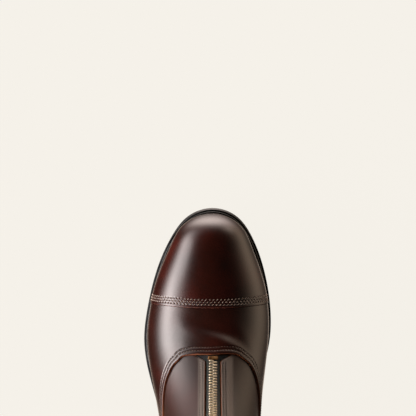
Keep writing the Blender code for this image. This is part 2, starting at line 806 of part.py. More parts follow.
def bottom_stop():
    """Metal stop clamped across the foot of the teeth, just inside the throat."""
    middle = station_after(CHAIN_START, STOP_LENGTH / 2)
    place, run, _ = ridge_frame(middle, CHAIN_FOOT + STOP_THICKNESS / 2)
    obj = block("zip_bottom_stop", (STOP_WIDTH, STOP_LENGTH, STOP_THICKNESS), STOP_ROUND)
    obj.location = place
    obj.rotation_euler = (tilt_of(run), 0.0, 0.0)
    return obj


def slider(cutters):
    """Slider body with its bridge: the upper half of a ring, joined to the body's top plate."""
    place, run, _ = ridge_frame(SLIDER_STATION, CHAIN_FOOT + SLIDER_THICKNESS / 2)
    obj = block("zip_slider", (SLIDER_WIDTH, SLIDER_LENGTH, SLIDER_THICKNESS), SLIDER_ROUND)
    obj.location = place
    obj.rotation_euler = (tilt_of(run), 0.0, 0.0)
    bpy.ops.mesh.primitive_torus_add(
        major_radius=BRIDGE_RADIUS, minor_radius=BRIDGE_WIRE, major_segments=20, minor_segments=8
    )
    bridge = hide_cutter(bpy.context.object, "bridge", cutters)
    bridge.rotation_euler = (tilt_of(run), 0.0, 0.0)
    bridge.data.transform(((0, 0, 1, 0), (0, 1, 0, 0), (-1, 0, 0, 0), (0, 0, 0, 1)))
    bridge.location = ridge_frame(SLIDER_STATION, SLIDER_TOP)[0]
    join = obj.modifiers.new("bridge", "BOOLEAN")
    join.operation = "UNION"
    join.object = bridge
    return obj


def rounded_rectangle(width, top, bottom, radius, steps=4):
    """Points round a rectangle with arc corners, centred across, from top down to bottom."""
    corners = (
        (width / 2 - radius, top - radius, 0),
        (-width / 2 + radius, top - radius, 1),
        (-width / 2 + radius, bottom + radius, 2),
        (width / 2 - radius, bottom + radius, 3),
    )
    points = []
    for x, y, quarter in corners:
        for k in range(steps + 1):
            angle = math.pi / 2 * (quarter + k / steps)
            points.append((x + radius * math.cos(angle), y + radius * math.sin(angle), 0.0, 1.0))
    return points


def pull(hinge):
    """Pull tab hung on the bridge: a flat tab with a window for the bridge and a bar that runs under it."""
    curve = bpy.data.curves.new("zip_pull", "CURVE")
    curve.dimensions = "2D"
    curve.fill_mode = "BOTH"
    curve.extrude = PULL_THICKNESS / 2
    top = PULL_BAR / 2
    bottom = top - PULL_LENGTH
    window = -PULL_BAR / 2
    grip = bottom + PULL_GRIP_END
    shapes = (
        rounded_rectangle(PULL_WIDTH, top, bottom, PULL_ROUND),
        rounded_rectangle(PULL_WIDTH - 2 * PULL_ARM, window, window - PULL_WINDOW, PULL_ARM / 2),
        rounded_rectangle(PULL_GRIP_WIDTH, grip + PULL_GRIP_LENGTH, grip, 0.45 * PULL_GRIP_WIDTH),
    )
    for points in shapes:
        line = curve.splines.new("POLY")
        line.points.add(len(points) - 1)
        for point, place in zip(line.points, points):
            point.co = place
        line.use_cyclic_u = True
    obj = bpy.data.objects.new("zip_pull", curve)
    bpy.context.scene.collection.objects.link(obj)
    obj.parent = hinge
    return obj


def pull_hinge(parent):
    """Empty on the pull tab's axis, which runs across the zip under the bridge."""
    place, run, _ = ridge_frame(SLIDER_STATION, BAR_HEIGHT)
    hinge = bpy.data.objects.new("pull_hinge", None)
    bpy.context.scene.collection.objects.link(hinge)
    hinge.location = place
    hinge.rotation_euler = (tilt_of(run) + math.radians(PULL_LEAN), 0.0, 0.0)
    hinge.parent = parent
    return hinge


def build():
    for obj in list(bpy.data.objects):
        bpy.data.objects.remove(obj)
    boot = new_collection("paddock_boot")
    cutters = new_collection("cutters")
    root = bpy.data.objects.new("paddock_boot", None)
    boot.objects.link(root)

    leather = material("brown_leather", (0.045, 0.018, 0.012), 0.32)
    cap_leather = material("cap_leather", (0.040, 0.015, 0.010), 0.28)
    rubber = material("black_rubber", (0.010, 0.010, 0.010), 0.50)
    board = material("insole_leather", (0.32, 0.20, 0.11), 0.70)
    cloth = material("zip_cloth", (0.022, 0.026, 0.022), 0.85)
    brass = material("antique_brass", (0.60, 0.46, 0.25), 0.35, 1.0)

    pieces = (
        (outsole(), rubber),
        (heel(cutters), rubber),
        (welt(), rubber),
        (insole(), board),
        (upper(), leather),
        (toe_cap(), cap_leather),
        (vamp(), leather),
        (collar_band(), leather),
        (back_strap(), leather),
        (zip_tape("zip_tape_lateral", -1), cloth),
        (zip_tape("zip_tape_medial", 1), cloth),
        (zip_chain(), brass),
        (bottom_stop(), brass),
        (slider(cutters), brass),
    )
    for obj, surface in pieces:
        finish(obj, boot, surface)
        obj.parent = root
    hinge = pull_hinge(root)
    finish(pull(hinge), boot, brass)


build()
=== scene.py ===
"""Looks of a left paddock boot with a front zip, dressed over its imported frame.

Metres, +Z up, toe towards +Y, the boot's own left side towards -X. The leather pieces are layers of one skin,
a function of station and turn. A station is a slice through the last, from the toe tip (0) over the instep
and round the heel to the collar (15). A turn runs round a slice from the lateral sole edge (-1) over the
ridge (0) to the medial sole edge (+1).
"""

import math

import bpy
import numpy as np
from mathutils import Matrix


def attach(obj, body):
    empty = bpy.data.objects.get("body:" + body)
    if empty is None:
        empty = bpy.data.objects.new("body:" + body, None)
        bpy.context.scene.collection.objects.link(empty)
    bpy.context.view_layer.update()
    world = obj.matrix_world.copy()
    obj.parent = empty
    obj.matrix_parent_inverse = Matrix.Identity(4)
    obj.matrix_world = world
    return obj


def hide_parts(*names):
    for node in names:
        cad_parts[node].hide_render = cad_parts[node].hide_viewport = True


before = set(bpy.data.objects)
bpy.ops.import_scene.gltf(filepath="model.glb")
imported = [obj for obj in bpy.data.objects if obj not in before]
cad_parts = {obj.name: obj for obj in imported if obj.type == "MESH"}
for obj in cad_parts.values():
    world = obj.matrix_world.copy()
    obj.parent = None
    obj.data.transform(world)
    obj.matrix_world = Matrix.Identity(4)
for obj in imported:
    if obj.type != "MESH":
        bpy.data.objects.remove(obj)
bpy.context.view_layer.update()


# Outsole. One plate of black moulded rubber from heel to toe. Its rim stands out all round, rounded on top,
# and shallow ribs cross the tread under the forefoot.
LENGTH = 0.282
BALL_WIDTH = 0.098
HEEL_LENGTH = 0.072
HEEL_LIFT = 0.0235
TOE_SPRING = 0.0115
GAP = 0.0003
OUTSOLE = 0.0060
RIM_ROUND = 0.0009
RIM_SIDE = 0.00015
RIM_TOE = 0.0009
TREAD_BEVEL = 0.0024
TOE_LEAN = 0.0010
RIB_PITCH = 0.0050
RIB_DEPTH = 0.0009
RIB_MARGIN = 0.0060
RIB_FADE = 0.0020
RIBS_BACK = (0.085, 0.100)
RIBS_FRONT = (0.215, 0.228)
RING_POINTS = 560
HEEL_BACK = -HEEL_LENGTH / 2
TOE_TIP = HEEL_BACK + LENGTH

# along is from the heel's back to the toe tip as a share of LENGTH, lateral and medial are half widths as
# shares of BALL_WIDTH.
OUTLINE = (
    # along, lateral, medial
    (1.000, 0.007, -0.007),
    (0.9755, 0.203, 0.195),
    (0.926, 0.318, 0.302),
    (0.830, 0.442, 0.405),
    (0.721, 0.518, 0.456),
    (0.639, 0.542, 0.450),
    (0.571, 0.519, 0.405),
    (0.468, 0.440, 0.312),
    (0.344, 0.368, 0.288),
    (0.220, 0.338, 0.318),
    (0.113, 0.326, 0.322),
    (0.043, 0.258, 0.258),
    (0.000, 0.000, 0.000),
)
# The underside from the side. lift is a share of HEEL_LIFT, spring a share of TOE_SPRING.
UNDERSIDE = (
    # along, lift, spring
    (0.00, 1.05, 0.00),
    (0.14, 1.00, 0.00),
    (0.26, 0.93, 0.00),
    (0.36, 0.70, 0.00),
    (0.45, 0.38, 0.00),
    (0.54, 0.11, 0.00),
    (0.62, 0.00, 0.00),
    (0.73, 0.00, 0.00),
    (0.80, 0.00, 0.09),
    (0.87, 0.00, 0.31),
    (0.94, 0.00, 0.66),
    (1.00, 0.00, 1.02),
)


def spline(knots, values):
    """Smooth curve through the values: a natural cubic, whose curvature is nought at both ends."""
    knots = np.asarray(knots, float)
    values = np.asarray(values, float)
    steps = np.diff(knots)
    slopes = np.diff(values) / steps
    inner = len(knots) - 2
    system = np.eye(inner + 2)
    row = np.arange(1, inner + 1)
    system[row, row - 1] = steps[:-1]
    system[row, row] = 2 * (steps[:-1] + steps[1:])
    system[row, row + 1] = steps[1:]
    bend = np.linalg.solve(system, np.concatenate([[0.0], 6 * np.diff(slopes), [0.0]]))

    def at(t):
        """The cubic of the span that t lies in."""
        t = np.asarray(t, float)
        i = np.clip(np.searchsorted(knots, t) - 1, 0, len(steps) - 1)
        h = steps[i]
        before = t - knots[i]
        after = knots[i + 1] - t
        curved = (bend[i] * after**3 + bend[i + 1] * before**3) / (6 * h)
        start = (values[i] / h - bend[i] * h / 6) * after
        end = (values[i + 1] / h - bend[i + 1] * h / 6) * before
        return curved + start + end

    return at


def ease(low, high, t):
    """0 before low, 1 after high, and a smooth S between."""
    share = np.clip((np.asarray(t, float) - low) / (high - low), 0.0, 1.0)
    return share * share * (3 - 2 * share)


def lengths(line):
    """How far each point of a line lies along it."""
    return np.concatenate([[0.0], np.cumsum(np.linalg.norm(np.diff(line, axis=0), axis=1))])


def outline_curve():
    """The sole's outline as a closed curve of t: 0 is the toe tip, 0.5 the back of the heel, medial side
    first."""
    rows = np.array(OUTLINE)
    along = HEEL_BACK + rows[:, 0] * LENGTH
    medial = np.column_stack([rows[:, 2] * BALL_WIDTH, along])
    lateral = np.column_stack([-rows[:, 1] * BALL_WIDTH, along])[::-1]
    medial_walk = lengths(medial)
    lateral_walk = lengths(lateral)
    loop = np.concatenate([medial, lateral[1:-1]])
    places = medial_walk / medial_walk[-1] / 2, 0.5 + lateral_walk[1:-1] / lateral_walk[-1] / 2
    places = np.concatenate(places)
    # The loop is repeated before and after itself, so that the curve closes smoothly.
    loop = np.concatenate([loop, loop, loop])
    places = np.concatenate([places - 1, places, places + 1])
    return spline(places, loop[:, 0]), spline(places, loop[:, 1])


OUTLINE_X, OUTLINE_Y = outline_curve()


def inset_outline(t, step, toe_step=0.0):
    """Points of the outline moved inwards by step, and by toe_step more at the toe tip."""
    nudge = 1e-3
    x, y = OUTLINE_X(t), OUTLINE_Y(t)
    run_x = OUTLINE_X(t + nudge) - OUTLINE_X(t - nudge)
    run_y = OUTLINE_Y(t + nudge) - OUTLINE_Y(t - nudge)
    size = np.hypot(run_x, run_y)
    depth = step + toe_step * ease(TOE_TIP - 0.12 * LENGTH, TOE_TIP, y)
    return x + depth * run_y / size, y - depth * run_x / size


def underside(y):
    """Height of the sole's underside: the forefoot rests on the floor, the waist arches, the toe springs."""
    rows = np.array(UNDERSIDE)
    height = rows[:, 1] * HEEL_LIFT + rows[:, 2] * TOE_SPRING
    return np.maximum(0.0, spline(HEEL_BACK + rows[:, 0] * LENGTH, height)(y))


def rings(profile, drawn=1.0):
    """Closed rings round the outline, one for each (step in, step in at the toe, height over the underside)
    of a profile. A ring drawn by less than 1 moves towards its spine, the middle of each pair of points
    that face each other, which stops short of both ends."""
    t = (np.arange(RING_POINTS) + 0.5) / RING_POINTS
    made = []
    for step, toe_step, height in profile:
        x, y = inset_outline(t, step, toe_step)
        spine_x = (x + x[::-1]) / 2
        spine_y = np.clip((y + y[::-1]) / 2, HEEL_BACK + 0.25 * BALL_WIDTH, TOE_TIP - 0.25 * BALL_WIDTH)
        x = spine_x + drawn * (x - spine_x)
        y = spine_y + drawn * (y - spine_y)
        made.append(np.column_stack([x, y, underside(y) + height]))
    return np.array(made)


WELD = 2e-6


def weld(points):
    """Makes points that lie together one. Returns the number of each point's stand-in, and the points
    kept."""
    flat = points.reshape(-1, 3)
    spots = np.round(flat / WELD).astype(np.int64)
    _, first, index = np.unique(spots, axis=0, return_index=True, return_inverse=True)
    return index.reshape(points.shape[:-1]), first


def cells(index):
    """Two triangles for each cell of a grid of point numbers."""
    a, b = index[..., :-1, :-1], index[..., 1:, :-1]
    c, d = index[..., 1:, 1:], index[..., :-1, 1:]
    return np.stack([np.stack([a, b, c], axis=-1), np.stack([a, c, d], axis=-1)], axis=-2)


def mesh_piece(name, points, faces, kinds=None, sharp=40.0, values=None):
    """An object from arrays: points, triangles with their material numbers, and named values on the points.
    Triangles that collapsed are dropped, and a mesh whose volume comes out negative is turned round."""
    whole = (faces[:, 0] != faces[:, 1]) & (faces[:, 1] != faces[:, 2]) & (faces[:, 2] != faces[:, 0])
    faces = faces[whole]
    corners = points[faces]
    if np.einsum("ij,ij->i", corners[:, 0], np.cross(corners[:, 1], corners[:, 2])).sum() < 0:
        faces = faces[:, ::-1]
    mesh = bpy.data.meshes.new(name)
    mesh.vertices.add(len(points))
    mesh.vertices.foreach_set("co", points.astype(np.float32).ravel())
    mesh.loops.add(faces.size)
    mesh.loops.foreach_set("vertex_index", faces.astype(np.int32).ravel())
    mesh.polygons.add(len(faces))
    mesh.polygons.foreach_set("loop_start", np.arange(0, faces.size, 3, dtype=np.int32))
    if kinds is not None:
        mesh.polygons.foreach_set("material_index", kinds[whole].astype(np.int32))
    for value_name, value in (values or {}).items():
        layer_made = mesh.attributes.new(value_name, "FLOAT", "POINT")
        layer_made.data.foreach_set("value", np.asarray(value, np.float32).ravel())
    mesh.update(calc_edges=True)
    mesh.shade_smooth()
    mesh.set_sharp_from_angle(angle=math.radians(sharp))
    piece = bpy.data.objects.new(name, mesh)
    bpy.context.scene.collection.objects.link(piece)
    return piece


def grid_piece(name, *grids, sharp=40.0):
    """An object from grids of points, each with the points that lie together made one."""
    points, faces, count = [], [], 0
    for grid in grids:
        index, first = weld(grid)
        points.append(grid.reshape(-1, 3)[first])
        faces.append(cells(index).reshape(-1, 3) + count)
        count += len(first)
    return mesh_piece(name, np.concatenate(points), np.concatenate(faces), sharp=sharp)


def stack_piece(name, stack, cycle=False, sharp=40.0):
    """A skin through a stack of closed rings. A cycle joins its last ring to its first. Otherwise the end
    rings are drawn together on their spine, which closes the ends."""
    if cycle:
        stack = np.concatenate([stack, stack[:1]])
    return grid_piece(name, np.concatenate([stack, stack[:, :1]], axis=1), sharp=sharp)


def outsole():
    """Rings from the tread's spine out to its edge, up the rim and back over the top. The ribs are cut up
    into the tread by a rounded wave along the sole, which fades towards the edge and at the waist."""
    edge = (1.2 * TREAD_BEVEL, 0.0, 0.0)
    tread = np.concatenate([rings([edge], drawn) for drawn in np.linspace(0.0, 1.0, 26)])
    y = tread[..., 1]
    inside = np.linalg.norm(tread - tread[-1:], axis=-1)
    wave = np.clip(1.6 * np.cos(2 * np.pi * y / RIB_PITCH), -1, 1) / 2 + 0.5
    treads = ease(*RIBS_BACK, y) * (1 - ease(*RIBS_FRONT, y))
    tread[..., 2] += RIB_DEPTH * wave * treads * ease(RIB_MARGIN - RIB_FADE, RIB_MARGIN, inside)
    bevel = np.linspace(0.0, np.pi / 2, 6)[1:]
    turn = np.linspace(0.0, np.pi / 2, 7)
    side = [(1.2 * TREAD_BEVEL * (1 - np.sin(a)), 0.0, TREAD_BEVEL * (1 - np.cos(a))) for a in bevel]
    side += [(0.0, TOE_LEAN * s, TREAD_BEVEL + (OUTSOLE - RIM_ROUND - TREAD_BEVEL) * s) for s in (0.3, 0.7)]
    for a in turn:
        inward = 1 - np.cos(a)
        side.append((RIM_SIDE * inward, TOE_LEAN + RIM_TOE * inward, OUTSOLE - RIM_ROUND * (1 - np.sin(a))))
    top = [rings([(RIM_SIDE, TOE_LEAN + RIM_TOE, OUTSOLE)], drawn) for drawn in (0.75, 0.4, 0.0)]
    return stack_piece("outsole_rubber", np.concatenate([tread, rings(side), *top]))


def linear(colour):
    """A colour given as an sRGB hex value, such as "2b1512", in the linear values that a shader takes."""
    part = np.array([int(colour[i : i + 2], 16) for i in (0, 2, 4)]) / 255
    part = np.where(part <= 0.04045, part / 12.92, ((part + 0.055) / 1.055) ** 2.4)
    return (*part.tolist(), 1.0)


def put(tree, node, **links):
    """Gives a node's inputs a value or another node's output. An input is named with _ for a space, or,
    where it only has a place, by i and that number."""
    for key, value in links.items():
        socket = node.inputs[int(key[1:]) if key[1:].isdigit() else key.replace("_", " ")]
        if isinstance(value, bpy.types.Node):
            value = value.outputs[0]
        if isinstance(value, bpy.types.NodeSocket):
            tree.links.new(value, socket)
        else:
            socket.default_value = value
    return node


def add(tree, kind, settings=None, **links):
    """Adds a node with its own properties and its inputs."""
    node = tree.nodes.new(kind)
    for key, value in (settings or {}).items():
        setattr(node, key, value)
    return put(tree, node, **links)


def calc(tree, operation, *values):
    """Adds one step of arithmetic on its values, in their order."""
    return add(tree, "ShaderNodeMath", {"operation": operation}, **{f"i{k}": v for k, v in enumerate(values)})


def noise(tree, scale, detail, **more):
    """Adds noise over the piece's own metres."""
    place = add(tree, "ShaderNodeTexCoord").outputs["Object"]
    return add(tree, "ShaderNodeTexNoise", Vector=place, Scale=scale, Detail=detail, **more)


def bump(tree, height, strength, distance, **more):
    """Adds relief that only the light sees."""
    return add(tree, "ShaderNodeBump", Height=height, Strength=strength, Distance=distance, **more)


def new_material(name):
    """An empty material with its shader joined to the output."""
    made = bpy.data.materials.new(name)
    made.use_nodes = True
    tree = made.node_tree
    tree.nodes.clear()
    shader = tree.nodes.new("ShaderNodeBsdfPrincipled")
    add(tree, "ShaderNodeOutputMaterial", Surface=shader)
    return made, tree, shader


def ramp(tree, source, low, high, colours):
    """A colour that runs through the given hex colours as the source goes from low to high."""
    node = add(tree, "ShaderNodeValToRGB", Fac=source)
    stops = node.color_ramp.elements
    stops.remove(stops[1])
    stops[0].position = low
    stops[0].color = linear(colours[0])
    for place, colour in zip(np.linspace(low, high, len(colours))[1:], colours[1:]):
        stops.new(place).color = linear(colour)
    return node


def span(tree, source, low, high, new_low, new_high):
    """A number that goes from new_low to new_high as the source goes from low to high."""
    return add(tree, "ShaderNodeMapRange", i0=source, i1=low, i2=high, i3=new_low, i4=new_high)


def moulded_rubber(name, colour, dusty, roughness):
    """Black moulded rubber: near black all through, with the faint grain of the mould and a satin sheen."""
    made, tree, shader = new_material(name)
    cloud = noise(tree, 90.0, 3.0)
    put(
        tree,
        shader,
        Base_Color=ramp(tree, cloud, 0.35, 0.7, (colour, dusty)),
        Roughness=span(tree, cloud, 0.3, 0.7, roughness - 0.06, roughness + 0.08),
        Normal=bump(tree, noise(tree, 1800.0, 2.0), 0.25, 0.0001),
        Specular_IOR_Level=0.45,
    )
    return made


def cover(piece, *surfaces):
    """Gives a piece its materials, in the order of its material numbers."""
    for surface in surfaces:
        piece.data.materials.append(surface)


SOLE_RUBBER = moulded_rubber("moulded_sole_rubber", "040404", "0a0a0a", 0.34)
sole = outsole()
cover(sole, SOLE_RUBBER)
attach(sole, "boot")
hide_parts("outsole")


# Heel. A block of moulded rubber lifts with a harder top piece under a narrow groove. It tapers to the floor,
# and its breast is hollowed in a shallow arc.
HEEL_SET_BACK = 0.0010
HEEL_TAPER = 0.0030
HEEL_EDGE = 0.0008
TOP_PIECE = 0.0060
TOP_PIECE_GROOVE = 0.0006
BREAST_HOLLOW = 0.0040
BREAST_RADIUS = 0.1150
LIFT_PITCH = 0.0046
LIFT_GROOVE = 0.00018
LIFT_GROOVE_WIDTH = 0.00022
SIDE_TOP = 0.0020
BREAST_START = 0.0008
BREAST_CORNER = 0.0012


def heel():
    """Rings round the seat's outline, closed across the breast by an arc. Their step in and height follow the
    block's side, and the end rings are drawn to the middle."""
    front = HEEL_BACK + HEEL_LENGTH
    spread = np.linspace(0.0, 1.0, 4001)
    inside = spread[OUTLINE_Y(spread) < front - BREAST_START]
    t = np.linspace(inside[0], inside[-1], 150)
    across = np.linspace(0.0, 1.0, 42)[1:-1]

    def ring(step, height, drawn=1.0):
        """One closed ring. Without a height it lies just under the outsole."""
        x, y = inset_outline(t, step)
        breast_x = x[-1] + (x[0] - x[-1]) * across
        breast_y = front - BREAST_HOLLOW + BREAST_RADIUS - np.sqrt(BREAST_RADIUS**2 - breast_x**2)
        corner = np.minimum(1, 12 * np.minimum(across, 1 - across))
        breast_y = breast_y - BREAST_CORNER * (1 - corner) ** 2
        x = drawn * np.concatenate([x, breast_x])
        y = drawn * np.concatenate([y, np.minimum(breast_y, front)])
        z = underside(y) - GAP if height is None else height + 0 * y
        return np.column_stack([x, y, z])

    heights = np.linspace(TOP_PIECE + 0.5 * TOP_PIECE_GROOVE, HEEL_LIFT - SIDE_TOP, 46)
    lifts = LIFT_GROOVE * np.exp(-((np.mod(heights - TOP_PIECE, LIFT_PITCH) / LIFT_GROOVE_WIDTH) ** 2))
    slope = (HEEL_TAPER - HEEL_SET_BACK) * (HEEL_LIFT - heights) / (HEEL_LIFT - TOP_PIECE) + HEEL_SET_BACK
    stack = [ring(HEEL_TAPER + HEEL_EDGE, 0.0, drawn) for drawn in (0.0, 0.5, 0.9, 1.0)]
    stack += [
        ring(HEEL_TAPER + HEEL_EDGE * (1 - np.sin(a)), HEEL_EDGE * (1 - np.cos(a)))
        for a in np.linspace(0.3, np.pi / 2, 5)
    ]
    stack += [
        ring(HEEL_TAPER, TOP_PIECE - 0.6 * TOP_PIECE_GROOVE),
        ring(HEEL_TAPER + TOP_PIECE_GROOVE, TOP_PIECE - 0.2 * TOP_PIECE_GROOVE),
        ring(HEEL_TAPER + TOP_PIECE_GROOVE, TOP_PIECE + 0.2 * TOP_PIECE_GROOVE),
    ]
    stack += [ring(step + groove, height) for step, groove, height in zip(slope, lifts, heights)]
    stack += [ring(HEEL_SET_BACK, None, drawn) for drawn in (1.0, 0.5, 0.0)]
    return stack_piece("heel_block", np.array(stack), sharp=50.0)


HEEL_RUBBER = moulded_rubber("moulded_heel_rubber", "0e0e0d", "1c1b19", 0.42)
block = heel()
cover(block, HEEL_RUBBER)
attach(block, "boot")
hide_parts("heel")


# Welt. A strip of black rubber laid round between sole and upper. It stands back from the sole's rim, so
# that a narrow dark channel runs between them, and its top is rounded and faintly notched.
WELT = 0.0028
WELT_STEP = 0.0017
WELT_WIDTH = 0.0085
WELT_ROUND = 0.0008
WELT_SHOULDER = 0.0012
NOTCH_PITCH = 0.0026
NOTCH_DEPTH = 0.00012


def welt():
    """A closed profile carried round the outline: rounded outside, flat where the upper stands on it."""
    foot = OUTSOLE + GAP
    turn = np.linspace(0.0, np.pi / 2, 7)
    profile = [(WELT_STEP + 0.5 * WELT_ROUND, TOE_LEAN, foot), (WELT_STEP, TOE_LEAN, foot + 0.5 * WELT_ROUND)]
    profile += [
        (WELT_STEP + WELT_ROUND * (1 - np.cos(a)), TOE_LEAN, foot + WELT - WELT_ROUND * (1 - np.sin(a)))
        for a in turn
    ]
    profile += [
        (WELT_STEP + WELT_ROUND + WELT_SHOULDER, TOE_LEAN, foot + WELT),
        (WELT_STEP + WELT_WIDTH, TOE_LEAN, foot + WELT),
        (WELT_STEP + WELT_WIDTH, TOE_LEAN, foot),
    ]
    stack = rings(profile)
    walked = lengths(stack[0])
    notch = NOTCH_DEPTH * np.clip(np.cos(2 * np.pi * walked / NOTCH_PITCH), 0, 1) ** 4
    stack[7:10, :, 2] -= notch
    return stack_piece("welt_rubber_strip", stack, cycle=True)


WELT_RUBBER = moulded_rubber("moulded_welt_rubber", "060707", "0e100f", 0.28)
strip = welt()
cover(strip, WELT_RUBBER)
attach(strip, "boot")
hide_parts("welt")


# Insole. A board and a leather sock inside the upper, standing on the welt. The sock is dished a little under
# the heel and the ball, and its edge is skived round.
INSOLE = 0.0035
INSOLE_PLAY = 0.0035
INSOLE_ROUND = 0.0009
SOCK_DISH = 0.0005
FEATHER_STEP = 0.0045
TOE_FEATHER_STEP = 0.0017
UPPER_WALL = 0.0022


def insole():
    """Rings from the spine of the board's underside out to its edge, round the edge and back over the sock,
    whose height falls by the dish towards the spine."""
    foot = OUTSOLE + WELT + 2 * GAP
    step = FEATHER_STEP + UPPER_WALL + INSOLE_PLAY
    rim = step - 0.5 * INSOLE_ROUND
    top = foot + INSOLE
    edge = [(step, TOE_FEATHER_STEP, foot), (rim, TOE_FEATHER_STEP, top - INSOLE_ROUND)]
    edge += [
        (rim + INSOLE_ROUND * (1 - np.cos(a)), TOE_FEATHER_STEP, top - INSOLE_ROUND * (1 - np.sin(a)))
        for a in np.linspace(0.25, np.pi / 2, 6)
    ]
    under = [rings([edge[0]], drawn) for drawn in (0.0, 0.5)]
    over = [
        rings([(edge[-1][0], edge[-1][1], top - SOCK_DISH * (1 - drawn**2))], drawn)
        for drawn in np.linspace(0.96, 0.0, 12)
    ]
    return stack_piece("insole_sock", np.concatenate([*under, rings(edge), *over]))


def lining_leather(name, colour, worn):
    """Thin vegetable-tanned leather: matt, with a soft nap."""
    made, tree, shader = new_material(name)
    shade = ramp(tree, noise(tree, 60.0, 4.0), 0.3, 0.7, (colour, worn))
    nap = bump(tree, noise(tree, 1400.0, 3.0), 0.3, 0.0001)
    put(tree, shader, Base_Color=shade, Normal=nap, Roughness=0.68)
    return made


SOCK_LEATHER = lining_leather("tan_sock_leather", "8a6440", "6f4d30")
sock = insole()
cover(sock, SOCK_LEATHER)
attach(sock, "boot")
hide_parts("insole")


# Upper. Two quarters of polished brown calf that run from under the vamp round to the back seam and up the
# shaft, lined with thin tan leather. They are closed over the last, open at the collar, down the zip and
# underneath.
INSTEP_HEIGHT = 0.1035
BOOT_HEIGHT = 0.1745
SHAFT_WIDTH = 0.072
COLLAR_DIP = 0.005
SLIT_WIDTH = 0.0116
SLIT_TOP_WIDTH = 0.0134
SLIT_MOUTH = 0.0290
SLIT_START = 5.60
SLIT_CORNER = 0.30
ZIP_COLUMN = 0.09
MOST_TUCK = 0.985
TUCK_SPREAD = 0.8
SHARPEST_SPREAD = 8.0
DIP_START = 11.5
TIP_OFFSET_END = 5.0
HEEL_STATION = 11
TOP_STATION = 15

# Slices over the foot. ridge and sole are where a slice meets the ridge and the feather edge, as shares of
# the upper's length. rise is a share of INSTEP_HEIGHT, the half widths are shares of BALL_WIDTH, belly is
# how high the widest point lies and full how square the shoulders are.
FOOT = (
    # ridge, rise, sole, lateral, medial, belly, full
    (1.0000, None, 1.0000, 0.000, 0.000, 0.30, 0.10),
    (0.9720, 0.420, 0.9720, 0.204, 0.193, 0.30, 0.12),
    (0.9130, 0.500, 0.9130, 0.306, 0.285, 0.30, 0.12),
    (0.8320, 0.546, 0.8320, 0.403, 0.364, 0.30, 0.10),
    (0.7480, 0.586, 0.7480, 0.466, 0.412, 0.30, 0.06),
    (0.6690, 0.643, 0.6630, 0.492, 0.416, 0.30, 0.02),
    (0.5970, 0.729, 0.5750, 0.472, 0.392, 0.31, 0.00),
    (0.5290, 0.850, 0.4790, 0.424, 0.362, 0.32, 0.04),
    (0.4690, 0.998, 0.3750, 0.380, 0.344, 0.31, 0.12),
)
# Slices that swing round the heel and up the shaft. rise and back are shares of BOOT_HEIGHT, the half
# widths of SHAFT_WIDTH.
SHAFT = (
    # ridge, rise, sole, back, lateral, medial, belly, full
    (0.4180, 0.690, 0.2400, None, 0.480, 0.455, 0.25, 0.20),
    (0.3830, 0.781, 0.0960, None, 0.460, 0.452, 0.20, 0.27),
    (0.3640, 0.846, 0.0000, None, 0.453, 0.450, 0.33, 0.28),
    (0.3545, 0.895, -0.0105, 0.380, 0.452, 0.450, 0.37, 0.26),
    (0.3480, 0.936, 0.0055, 0.575, 0.458, 0.456, 0.41, 0.20),
    (0.3440, 0.970, 0.0210, 0.755, 0.476, 0.474, 0.45, 0.12),
    (0.3415, 1.000, 0.0150, 0.962, 0.500, 0.500, 0.50, 0.06),
)


def feather(y):
    """Height of the welt's top, where the upper's lower edge and the insole stand."""
    return underside(y) + OUTSOLE + WELT + 2 * GAP


def feather_sides():
    """The feather edge as x over y, for the medial and the lateral side, from the back to the tip."""
    t = np.linspace(0.0, 0.5, 241)
    medial = np.column_stack(inset_outline(t, FEATHER_STEP, TOE_FEATHER_STEP))
    lateral = np.column_stack(inset_outline(1.0 - t, FEATHER_STEP, TOE_FEATHER_STEP))
    return medial[::-1], lateral[::-1]


MEDIAL_EDGE, LATERAL_EDGE = feather_sides()
UPPER_TIP = MEDIAL_EDGE[-1]
UPPER_BACK = MEDIAL_EDGE[0]


def along_upper(share):
    """The place along the boot of a share of the upper's length."""
    return UPPER_BACK[1] + share * (UPPER_TIP[1] - UPPER_BACK[1])


def station_curves():
    """One smooth curve of the station for each column of the two tables."""
    ridge, rise, sole, lateral, medial, belly, full = [list(c) for c in zip(*FOOT)]
    rise = [feather(UPPER_TIP[1])] + [r * INSTEP_HEIGHT for r in rise[1:]]
    lateral = [w * BALL_WIDTH for w in lateral]
    medial = [w * BALL_WIDTH for w in medial]
    for row in SHAFT:
        ridge.append(row[0])
        rise.append(row[1] * BOOT_HEIGHT)
        sole.append(row[2])
        lateral.append(row[4] * SHAFT_WIDTH)
        medial.append(row[5] * SHAFT_WIDTH)
        belly.append(row[6])
        full.append(row[7])
    stations = np.arange(len(ridge))
    mirrored = 4
    knots = np.concatenate([-stations[mirrored:0:-1], stations])

    def curve(values, sign):
        """Goes on through the toe tip with the same sign, or the other one, so that the tip is blunt."""
        values = np.asarray(values, float)
        before = values[0] + sign * (values[mirrored:0:-1] - values[0])
        return spline(knots, np.concatenate([before, values]))

    backs = [feather(UPPER_BACK[1])] + [row[3] * BOOT_HEIGHT for row in SHAFT if row[3] is not None]
    return {
        "ridge_y": curve(along_upper(np.array(ridge)), 1),
        "ridge_z": curve(rise, -1),
        "sole_y": curve(along_upper(np.array(sole)), 1),
        "lateral": curve(lateral, -1),
        "medial": curve(medial, -1),
        "belly": curve(belly, 1),
        "full": curve(full, 1),
        "back_z": spline(np.arange(HEEL_STATION, TOP_STATION + 1), backs),
    }


STATION = station_curves()


